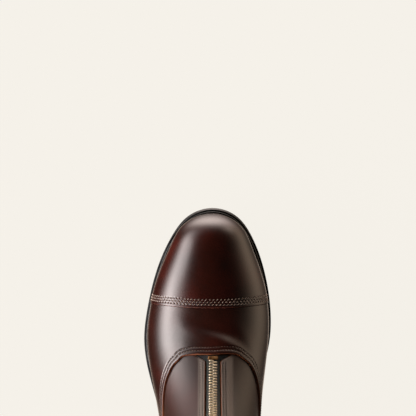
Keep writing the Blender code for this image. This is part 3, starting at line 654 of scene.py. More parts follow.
def slice_of(station, turn):
    """What a point of the skin needs from its slice: half width, sole end, middle and the angle at the
    end."""
    medial_side = turn >= 0
    sole_y = STATION["sole_y"](station)
    half = np.where(medial_side, STATION["medial"](station), STATION["lateral"](station))
    on_medial = np.interp(sole_y, MEDIAL_EDGE[:, 1], MEDIAL_EDGE[:, 0])
    on_lateral = -np.interp(sole_y, LATERAL_EDGE[:, 1], LATERAL_EDGE[:, 0])
    middle = UPPER_TIP[0] * (1 - ease(0.0, TIP_OFFSET_END, station))
    edge = np.where(medial_side, on_medial - middle, on_lateral + middle)
    edge = np.where(station < HEEL_STATION, np.maximum(edge, 0.0), 0.0)
    tuck = np.minimum(edge / np.maximum(np.abs(half), 1e-6), MOST_TUCK)
    return half, sole_y, middle, math.pi - np.arcsin(tuck)


def angle_of(share, end):
    """Angle round a slice for a share of its turn. What the tuck takes off half a circle comes off near the
    sole, so that lines of equal turn run straight over the shaft."""
    short = math.pi - end
    power = np.clip(TUCK_SPREAD * math.pi / np.maximum(short, 1e-6), 1.0, SHARPEST_SPREAD)
    return math.pi * share - short * np.abs(share) ** power


def skin(station, turn):
    """The upper's outer face. Over the belly a slice is an ellipse with filled shoulders, under it an ellipse
    that tucks in to the feather edge, or closes on the back line of the heel and shaft."""
    station, turn = np.broadcast_arrays(np.asarray(station, float), np.asarray(turn, float))
    half, sole_y, middle, end = slice_of(station, turn)
    angle = angle_of(np.abs(turn), end)
    side = np.where(turn >= 0, 1.0, -1.0)
    belly, full = STATION["belly"](station), STATION["full"](station)
    over = belly + (1 - belly) * np.cos(angle) * (1 + full * np.sin(angle) ** 2)
    under = belly * (1 - np.cos(angle) / np.cos(end))
    share = np.where(angle < math.pi / 2, over, under)
    sole_z = np.where(station < HEEL_STATION, feather(sole_y), STATION["back_z"](station))
    ridge_y, ridge_z = STATION["ridge_y"](station), STATION["ridge_z"](station)
    dip = COLLAR_DIP * ease(DIP_START, TOP_STATION, station) * np.sin(angle) ** 2
    x = middle + side * half * np.sin(angle)
    y = sole_y + (ridge_y - sole_y) * share
    z = sole_z + (ridge_z - sole_z) * share - dip
    return np.stack([x, y, z], axis=-1)


def skin_normal(station, turn):
    """Outward normal, from the skin's slopes along station and turn. At the toe tip it points straight
    ahead."""
    nudge = 2e-3
    inside = np.maximum(station, 10 * nudge)
    down = skin(inside + nudge, turn) - skin(inside - nudge, turn)
    across = skin(inside, turn + nudge) - skin(inside, turn - nudge)
    normal = np.cross(down, across)
    normal = normal / np.linalg.norm(normal, axis=-1, keepdims=True)
    at_tip = np.broadcast_to(station, normal.shape[:-1]) < nudge
    return np.where(at_tip[..., None], (0.0, 1.0, 0.0), normal)


def layer(station, turn, height):
    """The skin raised by a height, which may be one number or one for each point, and kept off the welt."""
    station, turn = np.broadcast_arrays(np.asarray(station, float), np.asarray(turn, float))
    height = np.broadcast_to(np.asarray(height, float), station.shape)
    points = skin(station, turn) + height[..., None] * skin_normal(station, turn)
    points[..., 2] = np.maximum(points[..., 2], feather(points[..., 1]))
    return points


def turn_at(station, x):
    """The turn where the skin's slice is x metres from the boot's middle, near the ridge."""
    side = np.where(np.asarray(x) >= 0, 1.0, -1.0)
    half, _, _, end = slice_of(np.asarray(station, float), side)
    angle = np.arcsin(np.clip(np.abs(x) / np.maximum(half, 1e-6), 0, 1))
    share = angle / math.pi
    for _ in range(6):
        share = share + (angle - angle_of(share, end)) / math.pi
    return side * share


def slit_half(station):
    """Half the zip's opening: it widens a little over the instep, and flares smoothly to a wider mouth
    under the vamp."""
    corner = 1 - ease(SLIT_START, SLIT_START + SLIT_CORNER, station)
    wider = (SLIT_TOP_WIDTH - SLIT_WIDTH) * ease(SLIT_START, HEEL_STATION, station)
    return (SLIT_WIDTH + wider + (SLIT_MOUTH - SLIT_WIDTH) * corner) / 2


def turn_of(station, column):
    """The turn of a column, which runs from -1 to 1. The column ZIP_COLUMN either side of the ridge follows
    the edge of the zip's opening, and ahead of the opening it keeps its turn."""
    station, column = np.broadcast_arrays(np.asarray(station, float), np.asarray(column, float))
    open_station = np.maximum(station, SLIT_START)
    side = np.where(column >= 0, 1.0, -1.0)
    edge = np.abs(turn_at(open_station, side * slit_half(open_station)))
    share = np.abs(column)
    beside = edge + (1 - edge) * (share - ZIP_COLUMN) / (1 - ZIP_COLUMN)
    return side * np.where(share < ZIP_COLUMN, edge * share / ZIP_COLUMN, beside)


def beside(points, line):
    """How far each point of a grid lies from a line of points, and how far along the line its nearest point
    is."""
    run = np.gradient(line, axis=0)
    run = run / np.linalg.norm(run, axis=-1, keepdims=True)
    walked = lengths(line)
    flat = points.reshape(-1, 3)
    away = np.empty(len(flat))
    along = np.empty(len(flat))
    for part in np.array_split(np.arange(len(flat)), max(1, len(flat) // 1500)):
        near = np.linalg.norm(flat[part, None] - line, axis=-1).argmin(axis=1)
        gap = flat[part] - line[near]
        step = np.einsum("ij,ij->i", gap, run[near])
        away[part] = np.sqrt(np.maximum(np.einsum("ij,ij->i", gap, gap) - step**2, 0.0))
        along[part] = walked[near] + step
    return away.reshape(points.shape[:-1]), along.reshape(points.shape[:-1])


THREAD = 0.00026
THREAD_FILL = 0.72
THREAD_SLANT = 0.00020
NO_SLANT = 0.00005
STITCH_PITCH = 0.0021
GROOVE_WIDTH = 0.00055
GROOVE_DEPTH = 0.00020
HOLE_WIDTH = 0.00055
HOLE_DEPTH = 0.00045


def sewn(away, along, rows, pitch=STITCH_PITCH, groove=GROOVE_DEPTH):
    """Depth that sewing presses into leather: a shallow groove along each row, and in it a needle hole every
    pitch, both as bell curves of the distance."""
    depth = np.zeros(np.broadcast(away, along).shape)
    for number, row in enumerate(rows):
        depth -= groove * np.exp(-(((away - row) / GROOVE_WIDTH) ** 2))
        miss = np.mod(along + pitch / 2 - row_start(number, pitch), pitch) - pitch / 2
        depth -= HOLE_DEPTH * np.exp(-((away - row) ** 2 + miss**2) / HOLE_WIDTH**2)
    return depth


def row_start(number, pitch):
    """Where a row's first hole lies: each row starts a third of a pitch after the one before."""
    return number * pitch / 3


def painted_shade(relief):
    """Painted shade of the sewing, 0 to 1: it sets in under the grooves and is full in a needle hole, where
    the leather is painted near black and its gloss is dulled."""
    return {"painted_shade": np.clip((-relief - GROOVE_DEPTH) / (0.6 * HOLE_DEPTH), 0.0, 1.0)}


def near_skin(target, station, turn):
    """The station and turn whose skin point is nearest to a target, by Newton steps from a first guess."""
    nudge = 1e-3
    for _ in range(7):
        down = (skin(station + nudge, turn) - skin(station - nudge, turn)) / (2 * nudge)
        across = (skin(station, turn + nudge) - skin(station, turn - nudge)) / (2 * nudge)
        miss = target - skin(station, turn)
        dd, aa, da = (down * down).sum(-1), (across * across).sum(-1), (down * across).sum(-1)
        dm, am = (down * miss).sum(-1), (across * miss).sum(-1)
        area = dd * aa - da**2
        station = station + (aa * dm - da * am) / area
        turn = np.clip(turn + (dd * am - da * dm) / area, -1.0, 1.0)
    return station, turn


def row_beside(stations, turns, offset):
    """A line on the skin that keeps offset metres to the left of another, seen from outside along its run."""
    line = skin(stations, turns)
    run = np.gradient(line, axis=0)
    run = run / np.linalg.norm(run, axis=-1, keepdims=True)
    left = np.cross(skin_normal(stations, turns), run)
    return near_skin(line + offset * left, stations, turns)


def even(stations, turns, count):
    """The same line with its points an even distance apart."""
    walked = lengths(skin(stations, turns))
    places = np.linspace(0.0, walked[-1], count)
    return np.interp(places, walked, stations), np.interp(places, walked, turns)


def stitches(name, rows, height, pitch=STITCH_PITCH, slant=THREAD_SLANT, thread=THREAD, fill=THREAD_FILL):
    """Rows of thread as one mesh. Each stitch is a short tube along its row, from one hole to the next: it
    rises out of the leather as a half sine, leans across the row by the slant, fills that share of the
    pitch, and its ends close in the holes."""
    around = np.linspace(0.0, 2 * np.pi, 7)
    share = np.linspace(0.0, 1.0, 7)
    made = []
    for number, (stations, turns) in enumerate(rows):
        walked = lengths(layer(stations, turns, height))
        holes = np.arange(row_start(number, pitch), walked[-1] - pitch, pitch)
        places = holes[:, None] + pitch * ((1 - fill) / 2 + fill * share)
        station = np.interp(places, walked, stations)
        turn = np.interp(places, walked, turns)
        normal = skin_normal(station, turn)
        centre = layer(station, turn, height + thread * (1.15 * np.sin(np.pi * share) ** 0.7 - 0.8))
        run = np.gradient(centre, axis=1)
        side = np.cross(normal, run)
        side = side / np.linalg.norm(side, axis=-1, keepdims=True)
        centre = centre + (slant * (2 * share - 1))[:, None] * side
        radius = (thread * np.sqrt(np.clip(np.sin(np.pi * share), 0.0, 1.0)))[:, None, None]
        side, normal = side[:, :, None], normal[:, :, None]
        tube = radius * (np.cos(around)[:, None] * side + np.sin(around)[:, None] * normal)
        made.append(centre[:, :, None] + tube)
    return grid_piece(name, np.concatenate(made), sharp=180.0)


def wall(name, outer, inner, keep=None, edge_cells=None, values=None):
    """The closed wall between an outer and an inner grid of like points, with a rim along every open edge.
    Material 0 is the outer face, 1 the rim and the cells marked as edge, 2 the inner face."""
    index, first = weld(outer)
    count = len(first)
    split = cells(index)
    kinds = np.zeros(split.shape[:3], int)
    if edge_cells is not None:
        kinds[edge_cells] = 1
    if keep is not None:
        split, kinds = split[keep], kinds[keep]
    face = split.reshape(-1, 3)
    kinds = kinds.reshape(-1)
    sides = np.concatenate([face[:, [0, 1]], face[:, [1, 2]], face[:, [2, 0]]])
    sides = sides[sides[:, 0] != sides[:, 1]]
    key = sides[:, 0] * count + sides[:, 1]
    back = sides[:, 1] * count + sides[:, 0]
    lone = sides[~np.isin(key, back)]
    rim = np.concatenate(
        [
            np.column_stack([lone[:, 1], lone[:, 0], lone[:, 0] + count]),
            np.column_stack([lone[:, 1], lone[:, 0] + count, lone[:, 1] + count]),
        ]
    )
    faces = np.concatenate([face, rim, face[:, ::-1] + count])
    kinds = np.concatenate([kinds, np.ones(len(rim), int), np.full(len(face), 2)])
    points = np.concatenate([outer.reshape(-1, 3)[first], inner.reshape(-1, 3)[first]])
    if values:
        flat = {k: np.broadcast_to(v, index.shape).reshape(-1) for k, v in values.items()}
        values = {k: np.tile(v[first], 2) for k, v in flat.items()}
    return mesh_piece(name, points, faces, kinds, values=values)


# Soft folds of the ankle and instep, each from one place on the skin to another: a trough is negative.
FOLDS = (
    # station, turn, station, turn, width, rise
    (8.55, -0.20, 8.05, -0.31, 0.0022, 0.00045),
    (8.75, -0.19, 8.30, -0.33, 0.0026, -0.00060),
    (8.50, 0.20, 8.05, 0.32, 0.0022, 0.00045),
    (8.72, 0.19, 8.28, 0.34, 0.0026, -0.00060),
    (9.90, -0.16, 9.70, -0.42, 0.0050, -0.00110),
    (9.90, 0.16, 9.65, 0.44, 0.0050, -0.00110),
    (10.70, -0.18, 10.85, -0.40, 0.0050, -0.00080),
    (10.75, 0.18, 10.90, 0.42, 0.0055, -0.00090),
    (10.30, -0.20, 10.20, -0.48, 0.0060, 0.00080),
    (10.30, 0.20, 10.20, 0.50, 0.0060, 0.00080),
)


def folds(points):
    """Relief of the folds: a bell across each one, which fades out at both ends."""
    relief = np.zeros(points.shape[:-1])
    share = np.linspace(0.0, 1.0, 25)
    for first_station, first_turn, last_station, last_turn, width, rise in FOLDS:
        line = skin(
            first_station + (last_station - first_station) * share,
            first_turn + (last_turn - first_turn) * share,
        )
        away, along = beside(points, line)
        fade = np.clip(np.sin(np.pi * np.clip(along / lengths(line)[-1], 0, 1)), 0, 1) ** 0.8
        relief += rise * np.exp(-((away / width) ** 2)) * fade
    return relief


FACING_ROWS = (0.0017, 0.0037)
FACING_PITCH = 0.0022
FACING_ROUND = 0.0006
FACING_GROOVE = 0.00003
FACING_THREAD = 0.00032
FACING_FILL = 0.5
# Widths of the strips beside the zip that take a painted reflection, lighter grey and duller.
LATERAL_STRIP = 0.0048
MEDIAL_STRIP = 0.0092
STRIP_SOFT = 0.0012
ROW_SPARE = 0.008
FACING_POINTS = 700
SEWN_COLUMNS = 0.25


def upper_stations():
    """Stations of the quarters' grid, close together at the blunt toe and over the foot of the zip's
    opening."""
    toe = 2.0 * np.linspace(0.0, 1.0, 16) ** 1.6
    foot = np.arange(2.25, 5.5, 0.25)
    corner = SLIT_START + SLIT_CORNER * np.array([0.0, 0.02, 0.06, 0.13, 0.22, 0.34, 0.48, 0.64, 0.82, 1.0])
    shaft = np.linspace(SLIT_START + SLIT_CORNER, TOP_STATION, 190)
    return np.unique(np.concatenate([toe, foot, corner, shaft, [float(HEEL_STATION)]]))


def upper_columns():
    """Columns of one side, close beside the zip for its edge and stitching and wider round the shaft."""
    edge = ZIP_COLUMN + np.array([0.0, 0.0008, 0.0024, 0.0048])
    beside_zip = ZIP_COLUMN + 0.0028 * np.arange(3, 23)
    rest = beside_zip[-1] + (1 - beside_zip[-1]) * np.linspace(0.0, 1.0, 62)[1:] ** 1.15
    return np.concatenate([edge, beside_zip, rest])


def facing_line(sign):
    """The straight edge beside the zip as stations and turns, carried on to its foot without the flare."""
    stations = np.linspace(SLIT_START + 0.1 * SLIT_CORNER, TOP_STATION, FACING_POINTS)
    straight = SLIT_START + SLIT_CORNER
    half = np.where(stations < straight, slit_half(np.array(straight)), slit_half(stations))
    return stations, turn_at(stations, sign * half)


def quarters():
    """The wall of the upper. Its outer face takes the stitching beside the zip and the folds of the ankle."""
    stations = upper_stations()[:, None]
    side = upper_columns()
    columns = np.concatenate([-side[::-1], [0.0], side])
    turns = turn_of(stations, columns)
    stations = np.broadcast_to(stations, turns.shape)
    smooth = layer(stations, turns, 0.0)
    relief, edge_fall = np.zeros(turns.shape), np.zeros(turns.shape)
    middle = len(side) - 1
    edge = np.linspace(SLIT_START + 0.4 * SLIT_CORNER, TOP_STATION, FACING_POINTS)
    painted_sheen = np.zeros(turns.shape)
    for sign, strip in ((-1, LATERAL_STRIP), (1, MEDIAL_STRIP)):
        near = (turns * sign > 0) & (stations > SLIT_START) & (np.abs(columns) < SEWN_COLUMNS)
        away, along = beside(smooth[near], layer(*facing_line(sign), 0.0))
        relief[near] = sewn(away, along, FACING_ROWS, FACING_PITCH, FACING_GROOVE)
        # Painted reflection: the strip beside each edge of the zip is painted lighter grey, and its gloss is
        # dulled.
        painted_sheen[near] = 1 - ease(strip - STRIP_SOFT, strip + STRIP_SOFT, away)
        rim = layer(edge, turn_of(edge, sign * ZIP_COLUMN), 0.0)
        inward = beside(smooth[near], rim)[0]
        edge_fall[near] = FACING_ROUND * np.clip(1 - inward / FACING_ROUND, 0.0, 1.0) ** 2
    keep = np.ones((turns.shape[0] - 1, turns.shape[1] - 1), bool)
    opening = stations[:-1, 0] >= SLIT_START - 1e-9
    keep[opening, middle : middle + 2] = False
    cut = np.zeros(keep.shape, bool)
    cut[opening, middle - 2 : middle + 4] = True
    values = {**painted_shade(relief), "painted_sheen": painted_sheen}
    relief = relief + folds(smooth) - edge_fall
    outer, inner = layer(stations, turns, relief), layer(stations, turns, -UPPER_WALL)
    return wall("quarters", outer, inner, keep, cut, values)


def facing_rows():
    """The rows of thread down both sides of the zip, each from where the leather is wide enough."""
    made = []
    for sign in (-1, 1):
        for row in FACING_ROWS:
            stations, turns = row_beside(*facing_line(sign), sign * row)
            kept = np.abs(turns) > np.abs(turn_of(stations, sign * ZIP_COLUMN)) + ROW_SPARE
            made.append((stations[kept], turns[kept]))
    return made


# Painted reflection: the lighter grey painted on the strip beside the zip.
PAINTED_SHEEN_CALF = "6d635b"
# Painted shade: the near black painted into the needle holes.
PAINTED_HOLE_SHADE = "050202"


def blend(tree, share, colour, other):
    """A colour that turns into another by a share."""
    return add(tree, "ShaderNodeMix", {"data_type": "RGBA"}, Factor=share, i6=colour, i7=other).outputs[2]


def polished_calf(name, dark, body, red, grain=1.0, rough_low=0.20, gloss=0.4):
    """Smooth calf, dyed through, waxed and brushed: a dark clear gloss over a body colour that drifts between
    chocolate and oxblood, with fine pores that break the gloss a little. Needle holes are painted near black
    as painted shade, and a strip beside the zip is painted lighter grey as a painted reflection. Both are
    also duller."""
    made, tree, shader = new_material(name)
    place = add(tree, "ShaderNodeTexCoord").outputs["Object"]
    pores = add(tree, "ShaderNodeTexVoronoi", {"feature": "DISTANCE_TO_EDGE"}, Vector=place, Scale=1300.0)
    wrinkle = noise(tree, 520.0, 5.0, Roughness=0.6)
    colour = ramp(tree, noise(tree, 30.0, 3.0, Roughness=0.5), 0.30, 0.72, (dark, body, red))
    hole_shade = add(tree, "ShaderNodeAttribute", {"attribute_name": "painted_shade"}).outputs["Fac"]
    painted_sheen = add(tree, "ShaderNodeAttribute", {"attribute_name": "painted_sheen"}).outputs["Fac"]
    # Painted reflection: lighter grey on the strip beside the zip.
    colour = blend(tree, painted_sheen, colour, linear(PAINTED_SHEEN_CALF))
    dull = calc(tree, "MAXIMUM", hole_shade, painted_sheen)
    rough = span(tree, wrinkle, 0.3, 0.7, rough_low, rough_low + 0.06)
    pore = span(tree, pores.outputs["Distance"], 0.0, 0.22, 0.0, 1.0)
    fine = bump(tree, pore, 0.10 * grain, 0.00008)
    put(
        tree,
        shader,
        # Painted shade: near black in the needle holes.
        Base_Color=blend(tree, hole_shade, colour, linear(PAINTED_HOLE_SHADE)),
        Roughness=calc(tree, "MULTIPLY_ADD", dull, 0.35, rough),
        Normal=bump(tree, wrinkle, 0.16 * grain, 0.00016, Normal=fine),
        Coat_Weight=calc(tree, "MULTIPLY_ADD", dull, -gloss, gloss),
        Coat_Roughness=0.13,
        Coat_IOR=1.45,
        Specular_IOR_Level=0.5,
    )
    return made


def cut_edge(name, colour, stain):
    """The cut edge of the hide: undyed fibres, stained by the polish, dull."""
    made, tree, shader = new_material(name)
    fibre = noise(tree, 900.0, 3.0)
    shade = ramp(tree, fibre, 0.3, 0.7, (colour, stain))
    put(tree, shader, Base_Color=shade, Normal=bump(tree, fibre, 0.4, 0.0001), Roughness=0.62)
    return made


def waxed_thread(name, colour, worn):
    """Waxed polyester thread: its colour changes along the twist, with a soft shine."""
    made, tree, shader = new_material(name)
    shade = ramp(tree, noise(tree, 2600.0, 2.0), 0.3, 0.7, (colour, worn))
    put(tree, shader, Base_Color=shade, Roughness=0.42)
    return made


BROWN_CALF = polished_calf("polished_brown_calf", "170803", "240c06", "301009")
QUARTER_CALF = polished_calf("soft_quarter_calf", "170904", "251009", "30130c", 1.3, 0.33, 0.08)
CUT_CALF = cut_edge("cut_edge_of_calf", "8e4f28", "5e2d15")
TAN_LINING = lining_leather("tan_lining_leather", "8d6a48", "a07c57")
BROWN_THREAD = waxed_thread("waxed_brown_thread", "5a463b", "806b5c")
DARK_THREAD = waxed_thread("waxed_dark_thread", "20140f", "2c1d17")
PALE_THREAD = waxed_thread("waxed_pale_thread", "6e5c4f", "8c7a6c")

upper = quarters()
cover(upper, QUARTER_CALF, CUT_CALF, TAN_LINING)
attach(upper, "boot")
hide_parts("upper")

facing_thread = stitches(
    "facing_stitches", facing_rows(), -FACING_GROOVE, FACING_PITCH, NO_SLANT, FACING_THREAD, FACING_FILL
)
cover(facing_thread, DARK_THREAD)
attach(facing_thread, "boot")


# Vamp. One piece of calf over the forefoot. Its rear edge is cut in a wide U round the foot of the zip and
# lies on top of the quarters, held by two rows of stitching, with the cut edge left bare.
CAP_LINE = 4.02
CAP_BOW = 0.12
CAP_BOW_REACH = 0.32
CAP_SEAM = 0.012
VAMP_GAP = 0.0001
VAMP_TOP = 0.0018
VAMP_ROWS = (0.0027, 0.0053)
VAMP_GROOVE = 0.00007
VAMP_FILL = 0.6
VAMP_SEAM_WIDTH = 0.0072
VAMP_GRID = (300, 62)
VAMP_LINE_POINTS = 1600
VAMP_THREAD_POINTS = 1200
EDGE_ROUND = 0.0005
SEAM_STEP = 0.0003
# The soft step where the forefoot flexes: a ridge near the seam and a trough further ahead, both slanting
# back towards the medial side. Its middle and spread are turns, its slant is metres for each turn.
FLEX_MIDDLE = 0.03
FLEX_SPREAD = 0.15
FLEX_STEP = 0.0145
FLEX_SLANT = 0.046
FLEX_HALF = 0.0047
FLEX_WIDTH = 0.0050
FLEX_SEAM = 0.0035
FLEX_RISE = 0.0010
FLEX_POINTS = 300
COLUMN_POINTS = 1201

# The vamp's rear edge, from the lateral sole over the foot of the zip to the medial sole.
THROAT = (
    # column, station
    (-1.00, 9.10),
    (-0.72, 8.72),
    (-0.50, 7.92),
    (-0.41, 6.95),
    (-0.34, 6.33),
    (-0.27, 5.95),
    (-0.20, 5.75),
    (-0.14, 5.68),
    (-0.08, 5.65),
    (0.00, 5.65),
    (0.07, 5.62),
    (0.12, 5.65),
    (0.16, 5.70),
    (0.21, 5.78),
    (0.28, 5.93),
    (0.36, 6.36),
    (0.45, 7.01),
    (0.58, 7.85),
    (0.78, 8.62),
    (1.00, 9.05),
)


def throat_line(count):
    """The rear edge as stations and turns, evenly spaced."""
    edge = np.array(THROAT)
    columns = np.linspace(-1.0, 1.0, COLUMN_POINTS)
    stations = spline(edge[:, 0], edge[:, 1])(columns)
    return even(stations, turn_of(stations, columns), count)


def cap_line(count, shift=0.0):
    """The toe cap's rear edge as stations and turns, bowed towards the heel over the ridge, evenly spaced."""
    columns = np.linspace(-1.0, 1.0, COLUMN_POINTS)
    stations = CAP_LINE - CAP_BOW * columns**2 / (columns**2 + CAP_BOW_REACH**2) + shift
    return even(stations, turn_of(stations, columns), count)


def rounded(away, radius=EDGE_ROUND):
    """How far a cut edge's rounding drops below its leather's face, at a distance from the edge."""
    inside = np.clip(1 - away / radius, 0.0, 1.0)
    return -radius * (1 - np.sqrt(1 - inside**2))


def seam_grid(edge, far, offsets, between):
    """A grid that runs from a far line to an edge: rows between the two, then rows that keep the offsets."""
    near_rows = [row_beside(*edge, offset) for offset in offsets]
    first = near_rows[0]
    share = np.linspace(0.0, 1.0, between)[:-1, None]
    stations = far[0] + share * (first[0] - far[0])
    turns = far[1] + share * (first[1] - far[1])
    stations = np.concatenate([stations, [row[0] for row in near_rows]])
    turns = np.concatenate([turns, [row[1] for row in near_rows]])
    return stations, turns


def edge_offsets(width):
    """Distances from a cut edge: even ones across the stitching, and close ones over the rounded edge."""
    even_ones = np.arange(width, EDGE_ROUND + SEAM_STEP / 2, -SEAM_STEP)
    return np.concatenate([even_ones, EDGE_ROUND * np.array([1.0, 0.6, 0.3, 0.1, 0.0])])


def sewn_wall(name, grid, offsets, line, rows, pitch, groove, low, top, bend=None):
    """The wall of a piece on a seam grid, between its low and its top height over the skin. The stitching
    is pressed in beside the line, bend gives more relief from skin points and turns, and the cut edge is
    rounded."""
    stations, turns = grid[0], np.clip(grid[1], -1.0, 1.0)
    smooth = layer(stations, turns, 0.0)
    near = slice(len(stations) - len(offsets) - 2, None)
    relief = np.zeros(stations.shape)
    relief[near] = sewn(*beside(smooth[near], line), rows, pitch, groove)
    dark = painted_shade(relief)
    if bend is not None:
        relief += bend(smooth, turns)
    from_edge = np.concatenate([np.full(len(stations) - len(offsets), 1.0), offsets])[:, None]
    outer = layer(stations, turns, top + (relief + rounded(from_edge)))
    edge_cells = np.zeros((stations.shape[0] - 1, stations.shape[1] - 1), bool)
    edge_cells[-2:] = True
    return wall(name, outer, layer(stations, turns, low), None, edge_cells, dark)


def flex(smooth, turns):
    """Relief of the flexed step: a ridge less a trough, both bell curves of the distance from the seam,
    within a bell curve of the turn, faded out before they reach the stitching."""
    away = beside(smooth, layer(*throat_line(FLEX_POINTS), 0.0))[0]
    side = turns - FLEX_MIDDLE
    bell = FLEX_RISE * np.exp(-((side / FLEX_SPREAD) ** 2)) * ease(FLEX_SEAM, 2 * FLEX_SEAM, away)
    relief = np.zeros(turns.shape)
    for sign in (1, -1):
        place = FLEX_STEP - FLEX_SLANT * side - sign * FLEX_HALF
        relief += sign * bell * np.exp(-(((away - place) / FLEX_WIDTH) ** 2))
    return relief


def vamp():
    """The vamp's wall, on rows that run parallel to its rear edge near the stitching."""
    across, between = VAMP_GRID
    offsets = edge_offsets(VAMP_SEAM_WIDTH)
    grid = seam_grid(throat_line(across), cap_line(across, CAP_SEAM), offsets, between)
    line = layer(*throat_line(VAMP_LINE_POINTS), 0.0)
    sewing = VAMP_ROWS, STITCH_PITCH, VAMP_GROOVE
    return sewn_wall("vamp_calf", grid, offsets, line, *sewing, VAMP_GAP, VAMP_TOP, flex)


def seam_rows(edge, rows):
    """Rows of thread at their distances from an edge."""
    return [row_beside(*edge, row) for row in rows]


front = vamp()
cover(front, BROWN_CALF, CUT_CALF, TAN_LINING)
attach(front, "boot")
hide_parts("vamp")

vamp_rows = seam_rows(throat_line(VAMP_THREAD_POINTS), VAMP_ROWS)
vamp_thread = stitches("vamp_stitches", vamp_rows, VAMP_TOP - VAMP_GROOVE, fill=VAMP_FILL)
cover(vamp_thread, BROWN_THREAD)
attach(vamp_thread, "boot")


# Toe cap. A second layer of calf over the toe box, burnished darker, with three close rows of stitching
# along its straight rear edge. The bare cut edge shows as a thin red-brown line.
CAP_LOW = 0.0003
CAP_TOP = 0.0023
CAP_ROWS = (0.0024, 0.0043, 0.0062)
CAP_PITCH = 0.0028
CAP_GROOVE = 0.00012
CAP_SLANT = 0.00055
CAP_THREAD = 0.00034
CAP_FILL = 0.62
CAP_SEAM_WIDTH = 0.0084
CAP_GRID = (260, 80)
CAP_LINE_POINTS = 1200
CAP_THREAD_POINTS = 900


def toe_cap():
    """The cap's wall: rows run parallel to its rear edge near the stitching and draw together at the toe
    tip."""
    across, between = CAP_GRID
    offsets = edge_offsets(CAP_SEAM_WIDTH)
    edge = cap_line(across)
    grid = seam_grid(edge, (np.zeros(across), edge[1]), offsets, between)
    line = layer(*cap_line(CAP_LINE_POINTS), 0.0)
    sewing = CAP_ROWS, CAP_PITCH, CAP_GROOVE
    return sewn_wall("toe_cap_calf", grid, offsets, line, *sewing, CAP_LOW, CAP_TOP)


CAP_CALF = polished_calf("burnished_cap_calf", "180602", "280a04", "3a1008", 0.8)
CUT_CAP = cut_edge("cut_edge_of_cap", "6d3420", "4a2016")
cap = toe_cap()
cover(cap, CAP_CALF, CUT_CAP, TAN_LINING)
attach(cap, "boot")
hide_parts("toe_cap")

cap_rows = seam_rows(cap_line(CAP_THREAD_POINTS), CAP_ROWS)
cap_thread = stitches(
    "cap_stitches", cap_rows, CAP_TOP - CAP_GROOVE, CAP_PITCH, CAP_SLANT, CAP_THREAD, CAP_FILL
)
cover(cap_thread, PALE_THREAD)
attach(cap_thread, "boot")


# Back strap. A strip of calf over the back seam, from the sole to the collar band, with a row of stitching
# down each edge.
STRAP_LOW = 0.0003
STRAP_TOP = 0.0015
BACK_STRAP_WIDTH = 0.024
COLLAR_BAND_HEIGHT = 0.011
STRAP_ROW = 0.0018
STRAP_PITCH = 0.0026


def below_collar(turns, drops):
    """Stations that lie the given drops under the collar, measured on the skin along each line of equal
    turn."""
    stations = np.linspace(TOP_STATION, HEEL_STATION, 321)
    found = []
    for turn in turns:
        found.append(np.interp(drops, lengths(skin(stations, turn)), stations))
    return np.array(found)


STRAP_END = below_collar([1.0], [COLLAR_BAND_HEIGHT + 2 * GAP])[0, 0]


def back_turn(stations, across):
    """The turn that lies a distance across from the back line, medial side positive."""
    reach = np.arcsin(across / STATION["medial"](stations)) / np.pi
    return np.where(across >= 0, 1 - reach, -1 - reach)


def strip_wall(name, stations, turns, relief, away, arch=0.0):
    """The wall of a strip, with its stitching pressed in and its edges rounded."""
    outer = layer(stations, turns, STRAP_TOP + (relief + rounded(away) + arch))
    return wall(name, outer, layer(stations, turns, STRAP_LOW), values=painted_shade(relief))


def back_strap():
    """The strap's wall on a grid of height and distance across."""
    stations = np.linspace(HEEL_STATION, STRAP_END, 260)[:, None]
    half = BACK_STRAP_WIDTH / 2
    edge = half - np.array([0.0, 0.05, 0.15, 0.3, 0.5]) * 0.001
    side = np.concatenate([edge, np.linspace(half - 0.0008, 0.0, 40)])
    across = np.concatenate([side, -side[-2::-1]])
    turns = back_turn(stations, across)
    stations = np.broadcast_to(stations, turns.shape)
    along = lengths(skin(stations[:, 0], 1.0))[:, None]
    away = half - np.abs(across)
    return strip_wall("back_strap_calf", stations, turns, sewn(away, along, (STRAP_ROW,), STRAP_PITCH), away)


def back_strap_rows():
    """A row of thread down each edge."""
    stations = np.linspace(HEEL_STATION + 0.02, STRAP_END - 0.02, 500)
    reach = BACK_STRAP_WIDTH / 2 - STRAP_ROW
    return [(stations, back_turn(stations, sign * reach + 0 * stations)) for sign in (-1, 1)]


strap = back_strap()
cover(strap, BROWN_CALF, CUT_CALF, TAN_LINING)
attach(strap, "boot")
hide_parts("back_strap")

strap_thread = stitches(
    "back_strap_stitches", back_strap_rows(), STRAP_TOP - GROOVE_DEPTH, STRAP_PITCH, NO_SLANT
)
cover(strap_thread, BROWN_THREAD)
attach(strap_thread, "boot")


# Collar band. A folded strip of calf round the top edge, from one side of the zip round the back to the
# other. It is a little padded between its two rows of stitching.
BAND_ROWS = (0.0017, 0.0093)
BAND_PUFF = 0.0004
BAND_PITCH = 0.0026
BAND_TOP_DROPS = (0.0, 0.0001, 0.0003, 0.0006)
BAND_FOOT_RISES = (0.0004, 0.00015, 0.0)
BAND_FLAT = (0.004, 0.007)


def collar_band():
    """The band's wall on a grid of turn and drop under the collar, with a low arch between the rows."""
    side = np.linspace(ZIP_COLUMN, 1.0, 170)
    turns = turn_of(np.full(2 * len(side), float(TOP_STATION)), np.concatenate([side, -side[::-1]]))
    face = np.linspace(0.0009, COLLAR_BAND_HEIGHT - 0.0006, 36)
    drops = np.concatenate([BAND_TOP_DROPS, face, COLLAR_BAND_HEIGHT - np.array(BAND_FOOT_RISES)])
    stations = below_collar(turns, drops[::-1]).T
    turns = np.broadcast_to(turns, stations.shape)
    down = drops[::-1, None]
    along = lengths(skin(stations[-1], turns[-1]))
    arch = BAND_PUFF * ease(BAND_ROWS[0], BAND_FLAT[0], down) * (1 - ease(BAND_FLAT[1], BAND_ROWS[1], down))
    away = np.minimum(down, COLLAR_BAND_HEIGHT - down)
    relief = sewn(down, along, BAND_ROWS, BAND_PITCH)
    return strip_wall("collar_band_calf", stations, turns, relief, away, arch)


